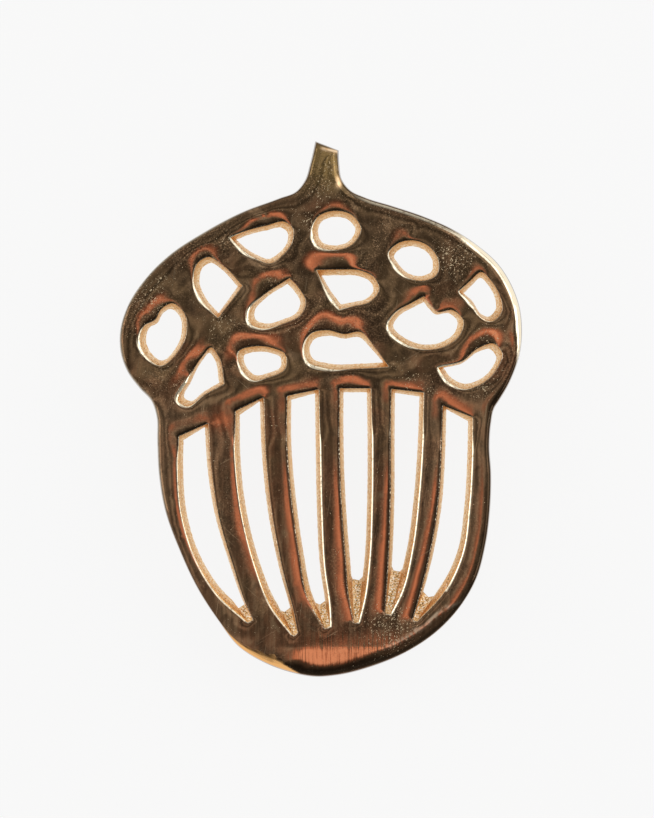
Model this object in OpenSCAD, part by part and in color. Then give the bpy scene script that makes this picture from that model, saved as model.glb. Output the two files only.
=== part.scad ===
// Acorn trivet: a cast openwork plate that stands on four screw-in feet.
// The plate lies flat with its stem along +Y. The origin is on the table, under the middle of the plate.
// All lengths are in millimetres.

/* [Plate] */
// Length of the plate, from the stem tip to the base of the nut
plate_length = 180; // [150:1:220]
// Width of the plate across the cap
plate_width = 135; // [112:1:165]
// Thickness of the casting
plate_thickness = 5; // [4:0.25:8]
// How far the outer wall leans in between the underside and the rolled edge
rim_draft = 0.5; // [0.2:0.1:1]
// Radius of the buffed edge round the outside
rim_roll = 1.5; // [0.6:0.1:1.8]
// Chamfer along the underside of the rim
rim_chamfer = 0.4; // [0.2:0.1:0.8]

/* [Openings] */
// How far a wall in the cap slopes in, from the rolled edge to the underside
cap_wall_draft = 1.8; // [0.8:0.1:2]
// How far a wall in the slots slopes in, from the rolled edge to the underside
slot_wall_draft = 1.3; // [0.6:0.1:1.6]
// Radius of the buffed edge round every opening
mouth_roll = 1; // [0.4:0.1:1.2]

/* [Feet] */
// Height of a foot, from the table to its seat on the plate
foot_height = 13.5; // [9:0.5:24]
// Diameter of the collar at the top of a foot
foot_collar_d = 10; // [9:0.5:11]
// Height of that collar
foot_collar_height = 1.8; // [1:0.1:3]
// Diameter of the leg just under the collar
foot_leg_d = 8.6; // [7.5:0.1:9]
// Diameter of the leg at its sole, before the edge is rounded
foot_sole_d = 7; // [5:0.5:8]
// Radius of the rounded edge round the sole
foot_sole_round = 1.2; // [0.4:0.1:2]
// Chamfer on both edges of the collar
foot_collar_chamfer = 0.3; // [0.1:0.1:0.4]

/* [Bosses and studs] */
// Diameter of the cast boss over each foot
boss_d = 11; // [10:0.5:12]
// Height of that boss below the plate
boss_height = 1.5; // [0.5:0.25:3]
// Metal left between a stud hole and the polished face
cover_over_stud = 1.8; // [1:0.1:2.5]
// Diameter of a threaded stud
stud_d = 4; // [3:0.5:5]
// Depth of the stud hole in a foot
foot_hole_depth = 6.5; // [4:0.5:8]
// Chamfer on both ends of a stud
stud_chamfer = 0.4; // [0.2:0.1:0.8]
// Gap between a stud and the wall of its hole
stud_side_clearance = 0.05; // [0.02:0.01:0.1]
// Gap between the end of a stud and the bottom of its hole
stud_end_clearance = 0.25; // [0.1:0.05:0.5]

/* [Hidden] */
$fn = 64;

// Heights above the table
underside_z = foot_height + boss_height;
top_z = underside_z + plate_thickness;
stud_top_z = top_z - cover_over_stud - stud_end_clearance;
stud_bottom_z = foot_height - foot_hole_depth + stud_end_clearance;
stud_hole_r = stud_d / 2 + stud_side_clearance;

// How far a cut runs past the face that it leaves, and a boss into the plate
overrun = 1;

// Flat steps in a rolled edge, and in each stretch of a curve between two points
roll_steps = 2;
outline_steps = 2;
opening_steps = 3;
slot_rows = 13;
sole_steps = 6;

// Points are shares of the plate's width and length, from its middle. They run clockwise, seen from
// above, and a third value of 1 marks a corner.
outline_shares = [
    [-0.014, 0.500, 1], [0.044, 0.483, 1], [0.046, 0.455], [0.052, 0.429], [0.071, 0.410], [0.111, 0.395],
    [0.175, 0.380], [0.255, 0.360], [0.325, 0.337], [0.389, 0.306], [0.442, 0.270], [0.476, 0.229],
    [0.495, 0.188], [0.500, 0.155], [0.494, 0.099], [0.480, 0.067],
    [0.464, 0.041], [0.445, 0.017], [0.431, 0.000], [0.424, -0.026], [0.420, -0.069], [0.424, -0.121],
    [0.422, -0.179], [0.410, -0.254], [0.387, -0.317], [0.347, -0.369], [0.290, -0.415], [0.215, -0.453],
    [0.126, -0.481], [0.041, -0.497], [-0.010, -0.500], [-0.083, -0.490], [-0.148, -0.471],
    [-0.203, -0.445], [-0.257, -0.394], [-0.307, -0.336], [-0.353, -0.263], [-0.389, -0.188],
    [-0.404, -0.121], [-0.408, -0.058], [-0.410, -0.013], [-0.422, 0.014], [-0.451, 0.038],
    [-0.483, 0.071], [-0.498, 0.103], [-0.500, 0.147], [-0.481, 0.193], [-0.444, 0.237],
    [-0.382, 0.285], [-0.292, 0.330], [-0.193, 0.369], [-0.103, 0.394], [-0.063, 0.406],
    [-0.041, 0.426], [-0.027, 0.459]
];

// A place in line with the stem, from which all of the outline can be seen
plate_hub_share = [0.015, 0];

// The thirteen openings of the cap, each at the foot of its rolled edge
leaf_shares = [
    [-0.223, 0.318, 1], [-0.183, 0.331], [-0.133, 0.341], [-0.088, 0.347], [-0.072, 0.337],
    [-0.071, 0.315], [-0.096, 0.286], [-0.126, 0.271], [-0.163, 0.281], [-0.198, 0.299]
];
crown_oval_shares = [
    [-0.020, 0.332], [-0.009, 0.355], [0.036, 0.368], [0.078, 0.359], [0.098, 0.336], [0.078, 0.307],
    [0.029, 0.296], [-0.007, 0.304]
];
right_oval_shares = [
    [0.169, 0.289], [0.188, 0.306], [0.225, 0.313], [0.265, 0.303], [0.289, 0.278], [0.286, 0.250],
    [0.255, 0.239], [0.215, 0.245], [0.183, 0.269]
];
kite_shares = [
    [-0.280, 0.282], [-0.243, 0.266], [-0.195, 0.229, 1], [-0.223, 0.201], [-0.255, 0.170, 1],
    [-0.291, 0.199], [-0.315, 0.243], [-0.305, 0.271]
];
teardrop_shares = [
    [-0.078, 0.243, 1], [-0.056, 0.225], [-0.039, 0.200], [-0.049, 0.177], [-0.091, 0.160],
    [-0.150, 0.151], [-0.175, 0.160], [-0.177, 0.180], [-0.146, 0.208]
];
wedge_shares = [
    [-0.010, 0.258, 1], [0.046, 0.259], [0.098, 0.257], [0.133, 0.243], [0.143, 0.222], [0.123, 0.201],
    [0.078, 0.191], [0.046, 0.186, 1], [0.015, 0.221]
];
petal_shares = [
    [0.398, 0.254], [0.422, 0.237], [0.444, 0.207], [0.447, 0.181], [0.422, 0.163], [0.398, 0.170],
    [0.372, 0.198], [0.343, 0.218, 1], [0.369, 0.237]
];
heart_shares = [
    [0.167, 0.155], [0.185, 0.178], [0.223, 0.196], [0.255, 0.209, 1], [0.272, 0.192], [0.287, 0.181],
    [0.327, 0.183], [0.351, 0.166], [0.345, 0.140], [0.310, 0.118], [0.257, 0.111], [0.205, 0.124]
];
bean_shares = [
    [-0.369, 0.196], [-0.340, 0.179], [-0.334, 0.147], [-0.354, 0.108], [-0.399, 0.081],
    [-0.434, 0.100], [-0.448, 0.127], [-0.437, 0.154], [-0.410, 0.166], [-0.396, 0.185]
];
triangle_shares = [
    [-0.271, 0.114], [-0.256, 0.100], [-0.241, 0.047, 1], [-0.287, 0.028], [-0.337, 0.006],
    [-0.351, 0.012], [-0.330, 0.050], [-0.294, 0.097]
];
pebble_shares = [
    [-0.203, 0.106], [-0.163, 0.116], [-0.116, 0.112], [-0.090, 0.102], [-0.090, 0.075],
    [-0.128, 0.060], [-0.168, 0.054], [-0.194, 0.073]
];
loaf_shares = [
    [-0.041, 0.112], [-0.026, 0.138], [0.014, 0.146], [0.058, 0.139], [0.097, 0.143], [0.133, 0.114],
    [0.167, 0.079, 1], [0.106, 0.076], [0.009, 0.077], [-0.032, 0.089]
];
crescent_shares = [
    [0.292, 0.076, 1], [0.345, 0.086], [0.394, 0.114], [0.429, 0.121], [0.448, 0.104], [0.434, 0.074],
    [0.394, 0.046], [0.352, 0.038], [0.317, 0.051]
];
cap_opening_shares = [
    leaf_shares, crown_oval_shares, right_oval_shares, kite_shares, teardrop_shares, wedge_shares,
    petal_shares, heart_shares, bean_shares, triangle_shares, pebble_shares, loaf_shares, crescent_shares
];

// The six slots of the nut, left to right: the left edge, then the right edge, both from the top to the
// tip, and the share of the edges down to which the slot is cut right through. Below that its floor climbs.
first_slot_shares = [
    [
        [-0.351, -0.051], [-0.352, -0.106], [-0.342, -0.198],
        [-0.310, -0.276], [-0.255, -0.344], [-0.180, -0.395]
    ],
    [
        [-0.280, -0.027], [-0.274, -0.101], [-0.255, -0.196],
        [-0.220, -0.287], [-0.187, -0.361], [-0.169, -0.392]
    ],
    0.86
];
second_slot_shares = [
    [
        [-0.211, -0.004], [-0.210, -0.080], [-0.195, -0.188],
        [-0.162, -0.289], [-0.121, -0.367], [-0.067, -0.420]
    ],
    [
        [-0.143, 0.021], [-0.139, -0.069], [-0.124, -0.185],
        [-0.096, -0.297], [-0.068, -0.377], [-0.058, -0.416]
    ],
    0.80
];
third_slot_shares = [
    [
        [-0.083, 0.024], [-0.083, -0.058], [-0.071, -0.170],
        [-0.052, -0.274], [-0.030, -0.356], [0.010, -0.407]
    ],
    [
        [-0.006, 0.036], [-0.004, -0.076], [-0.001, -0.188],
        [0.007, -0.300], [0.019, -0.364], [0.022, -0.403]
    ],
    0.80
];
fourth_slot_shares = [
    [
        [0.047, 0.038], [0.047, -0.058], [0.052, -0.170],
        [0.062, -0.274], [0.071, -0.353], [0.083, -0.396]
    ],
    [
        [0.123, 0.038], [0.125, -0.058], [0.124, -0.170],
        [0.118, -0.282], [0.106, -0.354], [0.092, -0.396]
    ],
    0.70
];
fifth_slot_shares = [
    [
        [0.175, 0.037], [0.174, -0.058], [0.174, -0.151],
        [0.170, -0.259], [0.164, -0.338], [0.160, -0.379]
    ],
    [
        [0.254, 0.030], [0.250, -0.058], [0.241, -0.159],
        [0.224, -0.263], [0.199, -0.340], [0.172, -0.381]
    ],
    0.70
];
sixth_slot_shares = [
    [
        [0.303, 0.006], [0.300, -0.076], [0.292, -0.174],
        [0.272, -0.267], [0.246, -0.347], [0.229, -0.392]
    ],
    [
        [0.375, -0.016], [0.373, -0.086], [0.366, -0.179],
        [0.348, -0.271], [0.303, -0.342], [0.238, -0.395]
    ],
    0.80
];
slot_shares = [
    first_slot_shares, second_slot_shares, third_slot_shares,
    fourth_slot_shares, fifth_slot_shares, sixth_slot_shares
];

// The feet, each under a broad stretch of metal
upper_left_share = [-0.360, 0.235];
upper_right_share = [0.337, 0.274];
lower_left_share = [-0.142, -0.428];
lower_right_share = [0.187, -0.418];
foot_place_shares = [upper_left_share, upper_right_share, lower_left_share, lower_right_share];

// A place on the plate in millimetres, from its shares
function placed(share) = [share.x * plate_width, share.y * plate_length];
function is_corner(share) = len(share) == 3;

// Direction of a curve at point i: along one chord at a corner or an end, and otherwise a blend of both
// chords in which the shorter one counts for more
function direction(points, corners, i, leaving) =
    let (
        n = len(points),
        into = points[i] - points[(i + n - 1) % n],
        away = points[(i + 1) % n] - points[i],
        a = norm(into),
        b = norm(away)
    )
    corners[i] ? (leaving ? away / b : into / a) : (into * b / a + away * a / b) / (a + b);

// A point at share t of the stretch from point i to the next one, on a cubic through both
function on_stretch(points, corners, i, t) =
    let (
        j = (i + 1) % len(points),
        chord = norm(points[j] - points[i]),
        start = direction(points, corners, i, true) * chord,
        end = direction(points, corners, j, false) * chord
    )
    points[i] * (2 * t ^ 3 - 3 * t ^ 2 + 1) + start * (t ^ 3 - 2 * t ^ 2 + t)
    + points[j] * (3 * t ^ 2 - 2 * t ^ 3) + end * (t ^ 3 - t ^ 2);

// A closed curve through all the points
function closed_curve(shares, steps) =
    let (points = [for (share = shares) placed(share)], corners = [for (share = shares) is_corner(share)])
    [for (i = [0 : len(points) - 1], k = [0 : steps - 1]) on_stretch(points, corners, i, k / steps)];

// A point at share t of an open curve through all the points
function on_edge(shares, t) =
    let (
        points = [for (share = shares) placed(share)],
        last = len(points) - 1,
        ends = [for (i = [0 : last]) i == 0 || i == last],
        i = min(floor(t * last), last - 1)
    )
    on_stretch(points, ends, i, t * last - i);

// The ring with all its sides moved by a distance, outwards if it is positive
function outward(side) = [-side.y, side.x] / norm(side);
function moved_out(ring, distance) =
    let (n = len(ring))
    [for (i = [0 : n - 1])
        let (
            before = outward(ring[i] - ring[(i + n - 1) % n]),
            after = outward(ring[(i + 1) % n] - ring[i])
        )
        ring[i] + (before + after) / (1 + before * after) * distance];

// The ring drawn in towards its middle, so that its four sides each move by a distance
function drawn_in(ring, distance) =
    let (
        xs = [for (p = ring) p.x],
        ys = [for (p = ring) p.y],
        low = [min(xs), min(ys)],
        high = [max(xs), max(ys)],
        middle = (low + high) / 2,
        size = high - low
    )
    [for (p = ring) [
        middle.x + (p.x - middle.x) * (1 - 2 * distance / size.x),
        middle.y + (p.y - middle.y) * (1 - 2 * distance / size.y)
    ]];

// A slot's ring with its edges moved in by a distance, ending at share reach of them
function slot_ring(slot, distance, reach) =
    let (last = slot_rows - 1)
    concat(
        [for (i = [0 : last]) on_edge(slot[1], reach * i / last) + distance * [-1, 2 * i / last - 1]],
        [for (i = [last : -1 : 0]) on_edge(slot[0], reach * i / last) + distance * [1, 2 * i / last - 1]]
    );

// The ring at a height
function raised(ring, z) = [for (p = ring) [p.x, p.y, z]];

// The middle of a ring's points
function middle_of(ring) = [for (p = ring) 1] * ring / len(ring);

// How far a rolled edge stands back at an angle, and how far below the face it is there
function roll_back(radius, angle) = radius * (1 - cos(angle));
function roll_drop(radius, angle) = radius * (1 - sin(angle));
function roll_angles() = [for (k = [1 : roll_steps]) 90 * k / roll_steps];

// The faces between rings of n points each, up to ring number last
function side_faces(n, last) =
    [for (k = [0 : last - 1], i = [0 : n - 1])
        let (a = k * n + i, b = k * n + (i + 1) % n)
        each [[a, b, b + n], [a, b + n, a + n]]];

// A solid through rings of equally many points, from the lowest to the highest, with a fan about the hub
// at either end
module hubbed_loft(rings, hub) {
    n = len(rings[0]);
    last = len(rings) - 1;
    low_hub = n * len(rings);
    hubs = [[hub.x, hub.y, rings[0][0].z], [hub.x, hub.y, rings[last][0].z]];
    bottom = [for (i = [0 : n - 1]) [(i + 1) % n, i, low_hub]];
    top = [for (i = [0 : n - 1]) [last * n + i, last * n + (i + 1) % n, low_hub + 1]];
    polyhedron(concat([for (ring = rings) each ring], hubs), concat(side_faces(n, last), bottom, top));
}

// The same for long rings that go down one side and come back up the other, with rungs across either end
module runged_loft(rings) {
    n = len(rings[0]);
    last = len(rings) - 1;
    rungs = [for (i = [0 : n / 2 - 2]) each [[i, i + 1, n - 2 - i], [i, n - 2 - i, n - 1 - i]]];
    bottom = [for (face = rungs) [face[2], face[1], face[0]]];
    top = [for (face = rungs) [for (i = face) last * n + i]];
    polyhedron([for (ring = rings) each ring], concat(side_faces(n, last), bottom, top));
}

// The plate before its openings are cut: a chamfered foot, a leaning wall and a rolled edge
module plate_blank() {
    outline = closed_curve(outline_shares, outline_steps);
    hubbed_loft(hub = placed(plate_hub_share), rings = concat(
        [
            raised(moved_out(outline, -rim_chamfer), underside_z),
            raised(outline, underside_z + rim_chamfer),
            raised(moved_out(outline, -rim_draft), top_z - rim_roll)
        ],
        [for (angle = roll_angles())
            let (inset = rim_draft + roll_back(rim_roll, angle))
            raised(moved_out(outline, -inset), top_z - roll_drop(rim_roll, angle))]
    ));
}

// What is cut away for one opening of the cap
module cap_opening(shares) {
    mouth = closed_curve(shares, opening_steps);
    throat = drawn_in(mouth, cap_wall_draft);
    hubbed_loft(hub = middle_of(mouth), rings = concat(
        [raised(throat, underside_z - overrun), raised(throat, underside_z)],
        [raised(mouth, top_z - mouth_roll)],
        [for (angle = roll_angles())
            raised(drawn_in(mouth, -roll_back(mouth_roll, angle)), top_z - roll_drop(mouth_roll, angle))],
        [raised(drawn_in(mouth, -mouth_roll), top_z + overrun)]
    ));
}

// What is cut away for one slot of the nut
module slot_opening(slot) {
    throat = slot_ring(slot, slot_wall_draft, slot[2]);
    runged_loft(concat(
        [raised(throat, underside_z - overrun), raised(throat, underside_z)],
        [raised(slot_ring(slot, 0, 1), top_z - mouth_roll)],
        [for (angle = roll_angles())
            let (flare = roll_back(mouth_roll, angle))
            raised(slot_ring(slot, -flare, 1), top_z - roll_drop(mouth_roll, angle))],
        [raised(slot_ring(slot, -mouth_roll, 1), top_z + overrun)]
    ));
}

// The cast plate: the openwork face, a boss over each foot and the stud holes
module acorn_plate() {
    color("#6a5030") difference() {
        union() {
            difference() {
                plate_blank();
                for (shares = cap_opening_shares) cap_opening(shares);
                for (slot = slot_shares) slot_opening(slot);
            }
            for (share = foot_place_shares)
                translate([placed(share).x, placed(share).y, foot_height])
                    cylinder(d = boss_d, h = boss_height + overrun);
        }
        for (share = foot_place_shares)
            translate([placed(share).x, placed(share).y, foot_height - overrun])
                cylinder(r = stud_hole_r, h = top_z - cover_over_stud - foot_height + overrun);
    }
}

// One turned foot: a rounded sole, a tapering leg, a chamfered collar and a hole for its stud
module foot(share) {
    sole_r = foot_sole_d / 2;
    collar_r = foot_collar_d / 2;
    collar_z = foot_height - foot_collar_height;
    chamfer = foot_collar_chamfer;
    profile = concat(
        [[0, 0]],
        [for (k = [0 : sole_steps])
            let (angle = 90 * k / sole_steps)
            [sole_r - foot_sole_round * (1 - sin(angle)), foot_sole_round * (1 - cos(angle))]],
        [
            [foot_leg_d / 2, collar_z],
            [collar_r - chamfer, collar_z],
            [collar_r, collar_z + chamfer],
            [collar_r, foot_height - chamfer],
            [collar_r - chamfer, foot_height],
            [0, foot_height]
        ]
    );
    color("#b08d4a") translate([placed(share).x, placed(share).y, 0]) difference() {
        rotate_extrude() polygon(profile);
        translate([0, 0, foot_height - foot_hole_depth])
            cylinder(r = stud_hole_r, h = foot_hole_depth + overrun);
    }
}

// One threaded stud, drawn plain at the outside of its thread
module stud(share) {
    r = stud_d / 2;
    profile = [
        [0, stud_bottom_z],
        [r - stud_chamfer, stud_bottom_z],
        [r, stud_bottom_z + stud_chamfer],
        [r, stud_top_z - stud_chamfer],
        [r - stud_chamfer, stud_top_z],
        [0, stud_top_z]
    ];
    color("silver") translate([placed(share).x, placed(share).y, 0]) rotate_extrude() polygon(profile);
}

acorn_plate();
foot(upper_left_share);  // upper_left_foot
foot(upper_right_share);  // upper_right_foot
foot(lower_left_share);  // lower_left_foot
foot(lower_right_share);  // lower_right_foot
stud(upper_left_share);  // upper_left_stud
stud(upper_right_share);  // upper_right_stud
stud(lower_left_share);  // lower_left_stud
stud(lower_right_share);  // lower_right_stud
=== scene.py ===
"""A cast brass acorn trivet, dressed for a plain studio picture.

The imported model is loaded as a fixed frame. The plate and its feet are then replaced by smooth surfaces
worked out with numpy from the same outlines, and every piece gets its finish. All lengths are in metres.
"""

from __future__ import annotations

import logging
import math
from dataclasses import dataclass, field
from enum import Enum
from typing import Any

import bpy
import numpy as np
from bpy.types import Material, Mesh, Node, NodeSocket, NodeTree, Object
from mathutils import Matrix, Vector
from mathutils.geometry import delaunay_2d_cdt

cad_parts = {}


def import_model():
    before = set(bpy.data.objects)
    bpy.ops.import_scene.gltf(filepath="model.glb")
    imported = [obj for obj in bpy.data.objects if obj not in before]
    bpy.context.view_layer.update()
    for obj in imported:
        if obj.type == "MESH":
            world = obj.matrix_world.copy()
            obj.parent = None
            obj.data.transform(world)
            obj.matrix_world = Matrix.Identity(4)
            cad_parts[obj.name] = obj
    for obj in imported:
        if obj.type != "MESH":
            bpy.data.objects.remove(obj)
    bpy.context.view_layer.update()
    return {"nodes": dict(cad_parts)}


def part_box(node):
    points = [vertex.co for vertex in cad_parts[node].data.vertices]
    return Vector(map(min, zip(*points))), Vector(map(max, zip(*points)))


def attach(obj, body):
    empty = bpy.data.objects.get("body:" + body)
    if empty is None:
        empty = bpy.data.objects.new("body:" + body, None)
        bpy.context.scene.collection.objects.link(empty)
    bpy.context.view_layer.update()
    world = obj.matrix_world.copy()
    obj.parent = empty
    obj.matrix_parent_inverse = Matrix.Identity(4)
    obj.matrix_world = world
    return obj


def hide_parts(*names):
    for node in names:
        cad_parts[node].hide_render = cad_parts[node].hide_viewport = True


LOG = logging.getLogger("trivet")
MM = 0.001
BODY = "root"

# Where the middle of a rounded corner lies, as a share of its width
CORNER = 0.3

Array = np.ndarray
Band = tuple[float, ...]
Wave = tuple[float, float, float]
Colour = tuple[float, float, float, float]
Relief = tuple[tuple[str, float, float], ...]

# Directions seen from above: the studio's dark side, the lit side, which lips with a painted highlight face,
# the side to which the cap's right shoulder with its painted highlight faces, and the side on which walls
# have painted shade
TOWARDS_DARK = (0.55, -0.835)
LIT_SIDE = (-0.80, 0.60)
SHOULDER_SIDE = (0.80, 0.60)
SHADED_SIDE = (0.35, -0.94)
NOWHERE = -math.inf

# Points are thousandths of the plate's width and length, from its middle. They run clockwise, seen from
# above, and a third value of 1 marks a corner.
OUTLINE_POINTS = [
    [-14, 500, 1], [44, 483, 1], [46, 455], [52, 429], [71, 410], [111, 395], [175, 380], [255, 360],
    [325, 337], [389, 306], [442, 270], [476, 229], [495, 188], [500, 155], [494, 99], [480, 67], [464, 41],
    [445, 17], [431, 0], [424, -26], [420, -69], [424, -121], [422, -179], [410, -254], [387, -317],
    [347, -369], [290, -415], [215, -453], [126, -481], [41, -497], [-10, -500], [-83, -490], [-148, -471],
    [-203, -445], [-257, -394], [-307, -336], [-353, -263], [-389, -188], [-404, -121], [-408, -58],
    [-410, -13], [-422, 14], [-451, 38], [-483, 71], [-498, 103], [-500, 147], [-481, 193], [-444, 237],
    [-382, 285], [-292, 330], [-193, 369], [-103, 394], [-63, 406], [-41, 426], [-27, 459],
]

# The openings of the cap, each at the foot of its rolled edge
CAP_OPENING_POINTS = {
    "leaf": [
        [-223, 318, 1], [-183, 331], [-133, 341], [-88, 347], [-72, 337], [-71, 315], [-96, 286],
        [-126, 271], [-163, 281], [-198, 299],
    ],
    "crown_oval": [
        [-20, 332], [-9, 355], [36, 368], [78, 359], [98, 336], [78, 307], [29, 296], [-7, 304],
    ],
    "right_oval": [
        [169, 289], [188, 306], [225, 313], [265, 303], [289, 278], [286, 250], [255, 239], [215, 245],
        [183, 269],
    ],
    "kite": [
        [-280, 282], [-243, 266], [-195, 229, 1], [-223, 201], [-255, 170, 1], [-291, 199], [-315, 243],
        [-305, 271],
    ],
    "teardrop": [
        [-78, 243, 1], [-56, 225], [-39, 200], [-49, 177], [-91, 160], [-150, 151], [-175, 160],
        [-177, 180], [-146, 208],
    ],
    "wedge": [
        [-10, 258, 1], [46, 259], [98, 257], [133, 243], [143, 222], [123, 201], [78, 191], [46, 186, 1],
        [15, 221],
    ],
    "petal": [
        [398, 254], [422, 237], [444, 207], [447, 181], [422, 163], [398, 170], [372, 198], [343, 218, 1],
        [369, 237],
    ],
    "heart": [
        [167, 155], [185, 178], [223, 196], [255, 209, 1], [272, 192], [287, 181], [327, 183], [351, 166],
        [345, 140], [310, 118], [257, 111], [205, 124],
    ],
    "bean": [
        [-369, 196], [-340, 179], [-334, 147], [-354, 108], [-399, 81], [-434, 100], [-448, 127],
        [-437, 154], [-410, 166], [-396, 185],
    ],
    "triangle": [
        [-271, 114], [-256, 100], [-241, 47, 1], [-287, 28], [-337, 6], [-351, 12], [-330, 50], [-294, 97],
    ],
    "pebble": [
        [-203, 106], [-163, 116], [-116, 112], [-90, 102], [-90, 75], [-128, 60], [-168, 54], [-194, 73],
    ],
    "loaf": [
        [-41, 112], [-26, 138], [14, 146], [58, 139], [97, 143], [133, 114], [167, 79, 1], [106, 76],
        [9, 77], [-32, 89],
    ],
    "crescent": [
        [292, 76, 1], [345, 86], [394, 114], [429, 121], [448, 104], [434, 74], [394, 46], [352, 38],
        [317, 51],
    ],
}

# How the edge of each opening is rolled: the direction from its middle in which it is rolled most, in degrees
# from +X, how far the roll spreads to either side, its depth and its reach as shares of the usual ones, and
# how strongly a copper reflection is painted on the face beside it
CAP_ROLLS = {
    "leaf": (85, 52, 1, 1, 1),
    "crown_oval": (92, 30, 0.44, 0.9, 0.90),
    "right_oval": (108, 20, 0.5, 1, 0.70),
    "kite": (116, 38, 0.85, 1.1, 0.72),
    "teardrop": (130, 58, 1.35, 1.35, 1.05),
    "wedge": (106, 50, 1.35, 1.5, 1.18),
    "petal": (92, 25, 0.25, 1, 0.60),
    "heart": (74, 42, 0.95, 1.2, 1.05),
    "bean": (128, 46, 0.75, 0.9, 0.90),
    "triangle": (142, 52, 1.2, 1.25, 1),
    "pebble": (115, 60, 1.25, 1.25, 1.1),
    "loaf": (110, 58, 1.35, 1.45, 1.15),
    "crescent": (62, 75, 1, 1.45, 1.2),
}

# Each slot of the nut: its left edge, then its right edge, both from the top to the tip, the share of the
# edges down to which it is cut right through, how much deeper the roll over its top is than beside it, as a
# share, the direction in which its edge has a bevel with a painted highlight, and how low that bevel ends
SLOTS = {
    "first_slot": (
        [[-351, -51], [-352, -106], [-342, -198], [-310, -276], [-255, -344], [-180, -395]],
        [[-280, -27], [-274, -101], [-255, -196], [-220, -287], [-187, -361], [-169, -392]],
        0.86, 0.30, 180, NOWHERE,
    ),
    "second_slot": (
        [[-211, -4], [-210, -80], [-195, -188], [-162, -289], [-121, -367], [-67, -420]],
        [[-143, 21], [-139, -69], [-124, -185], [-96, -297], [-68, -377], [-58, -416]],
        0.80, 0.50, 180, NOWHERE,
    ),
    "third_slot": (
        [[-83, 24], [-83, -58], [-71, -170], [-52, -274], [-30, -356], [10, -407]],
        [[-6, 36], [-4, -76], [-1, -188], [7, -300], [19, -364], [22, -403]],
        0.80, 0.20, 0, NOWHERE,
    ),
    "fourth_slot": (
        [[47, 38], [47, -58], [52, -170], [62, -274], [71, -353], [83, -396]],
        [[123, 38], [125, -58], [124, -170], [118, -282], [106, -354], [92, -396]],
        0.70, 0.25, 0, NOWHERE,
    ),
    "fifth_slot": (
        [[175, 37], [174, -58], [174, -151], [170, -259], [164, -338], [160, -379]],
        [[254, 30], [250, -58], [241, -159], [224, -263], [199, -340], [172, -381]],
        0.70, 0.25, 0, NOWHERE,
    ),
    "sixth_slot": (
        [[303, 6], [300, -76], [292, -174], [272, -267], [246, -347], [229, -392]],
        [[375, -16], [373, -86], [366, -179], [348, -271], [303, -342], [238, -395]],
        0.80, 0.55, 0, -61 * MM,
    ),
}


class Corner(Enum):
    """Where a foot stands, as the first words of its nodes' names."""

    UPPER_LEFT = "upper_left"
    UPPER_RIGHT = "upper_right"
    LOWER_LEFT = "lower_left"
    LOWER_RIGHT = "lower_right"


class Slot(Enum):
    """The record's material slots that the new pieces take."""

    PLATE = "polished_brass"
    FOOT = "turned_brass"


class Skin(Enum):
    """Material slots on the plate's own mesh."""

    POLISHED = 0
    CAST = 1


# Curves and rings in the plane


def in_metres(rows: list[list[int]], size: Array) -> Array:
    """Points of a table, which are thousandths of the plate's width and length, in metres."""
    return np.array([row[:2] for row in rows]) / 1000 * size


@dataclass(frozen=True)
class Curve:
    """A closed cubic through given points, which is sharp only at its corners.

    Between two points it is a Hermite cubic. Its direction at a point is a blend of the chords before and
    after it in which the shorter one counts for more, or at a corner the one chord on that side.
    """

    points: Array
    corners: Array

    @classmethod
    def from_table(cls, rows: list[list[int]], size: Array) -> Curve:
        """Reads a curve from thousandths of the plate's width and length.

        Args:
            rows: Points, with a third value at a corner.
            size: Plate width and length.

        Returns:
            The curve in metres.
        """
        return cls(in_metres(rows, size), np.array([len(row) == 3 for row in rows]))

    def at(self, places: Array) -> Array:
        """Points on the curve.

        Args:
            places: Numbers from 0 up to the count of points: the whole part is the point's number and the
                rest the share of the stretch after it.

        Returns:
            An array of x and y.
        """
        count = len(self.points)
        into = self.points - np.roll(self.points, 1, axis=0)
        away = np.roll(self.points, -1, axis=0) - self.points
        before = np.linalg.norm(into, axis=1)[:, None]
        after = np.linalg.norm(away, axis=1)[:, None]
        blend = (into * after / before + away * before / after) / (before + after)
        sharp = self.corners[:, None]
        leaving = np.where(sharp, away / after, blend) * after
        arriving = np.where(sharp, into / before, blend) * before
        first = np.floor(places).astype(int) % count
        second = (first + 1) % count
        t = (places - np.floor(places))[:, None]
        return (
            self.points[first] * (2 * t**3 - 3 * t**2 + 1)
            + leaving[first] * (t**3 - 2 * t**2 + t)
            + self.points[second] * (3 * t**2 - 2 * t**3)
            + arriving[second] * (t**3 - t**2)
        )

    def places(self, spacing: float) -> Array:
        """Evenly spaced places along the curve.

        Args:
            spacing: Longest step along a chord.

        Returns:
            Places for at().
        """
        chords = np.linalg.norm(np.roll(self.points, -1, axis=0) - self.points, axis=1)
        counts = np.maximum(2, np.ceil(chords / spacing)).astype(int)
        stretch = np.repeat(np.arange(len(counts)), counts)
        first = np.cumsum(counts) - counts
        return stretch + (np.arange(counts.sum()) - first[stretch]) / counts[stretch]


def left_normals(ring: Array) -> Array:
    """Mitred normals on the left of a closed ring's way round.

    The sum of the two sides' unit normals is divided by one plus their product, so that both sides move by
    the same distance. A very sharp mitre is cut short.

    Args:
        ring: Points in order.

    Returns:
        One vector a point.
    """
    longest_mitre = 1.5
    into = ring - np.roll(ring, 1, axis=0)
    into /= np.linalg.norm(into, axis=1)[:, None]
    away = np.roll(into, -1, axis=0)
    before = np.column_stack([-into[:, 1], into[:, 0]])
    after = np.column_stack([-away[:, 1], away[:, 0]])
    mitre = (before + after) / (1 + (before * after).sum(axis=1))[:, None]
    size = np.linalg.norm(mitre, axis=1)[:, None]
    return mitre * np.minimum(1.0, longest_mitre / size)


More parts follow.
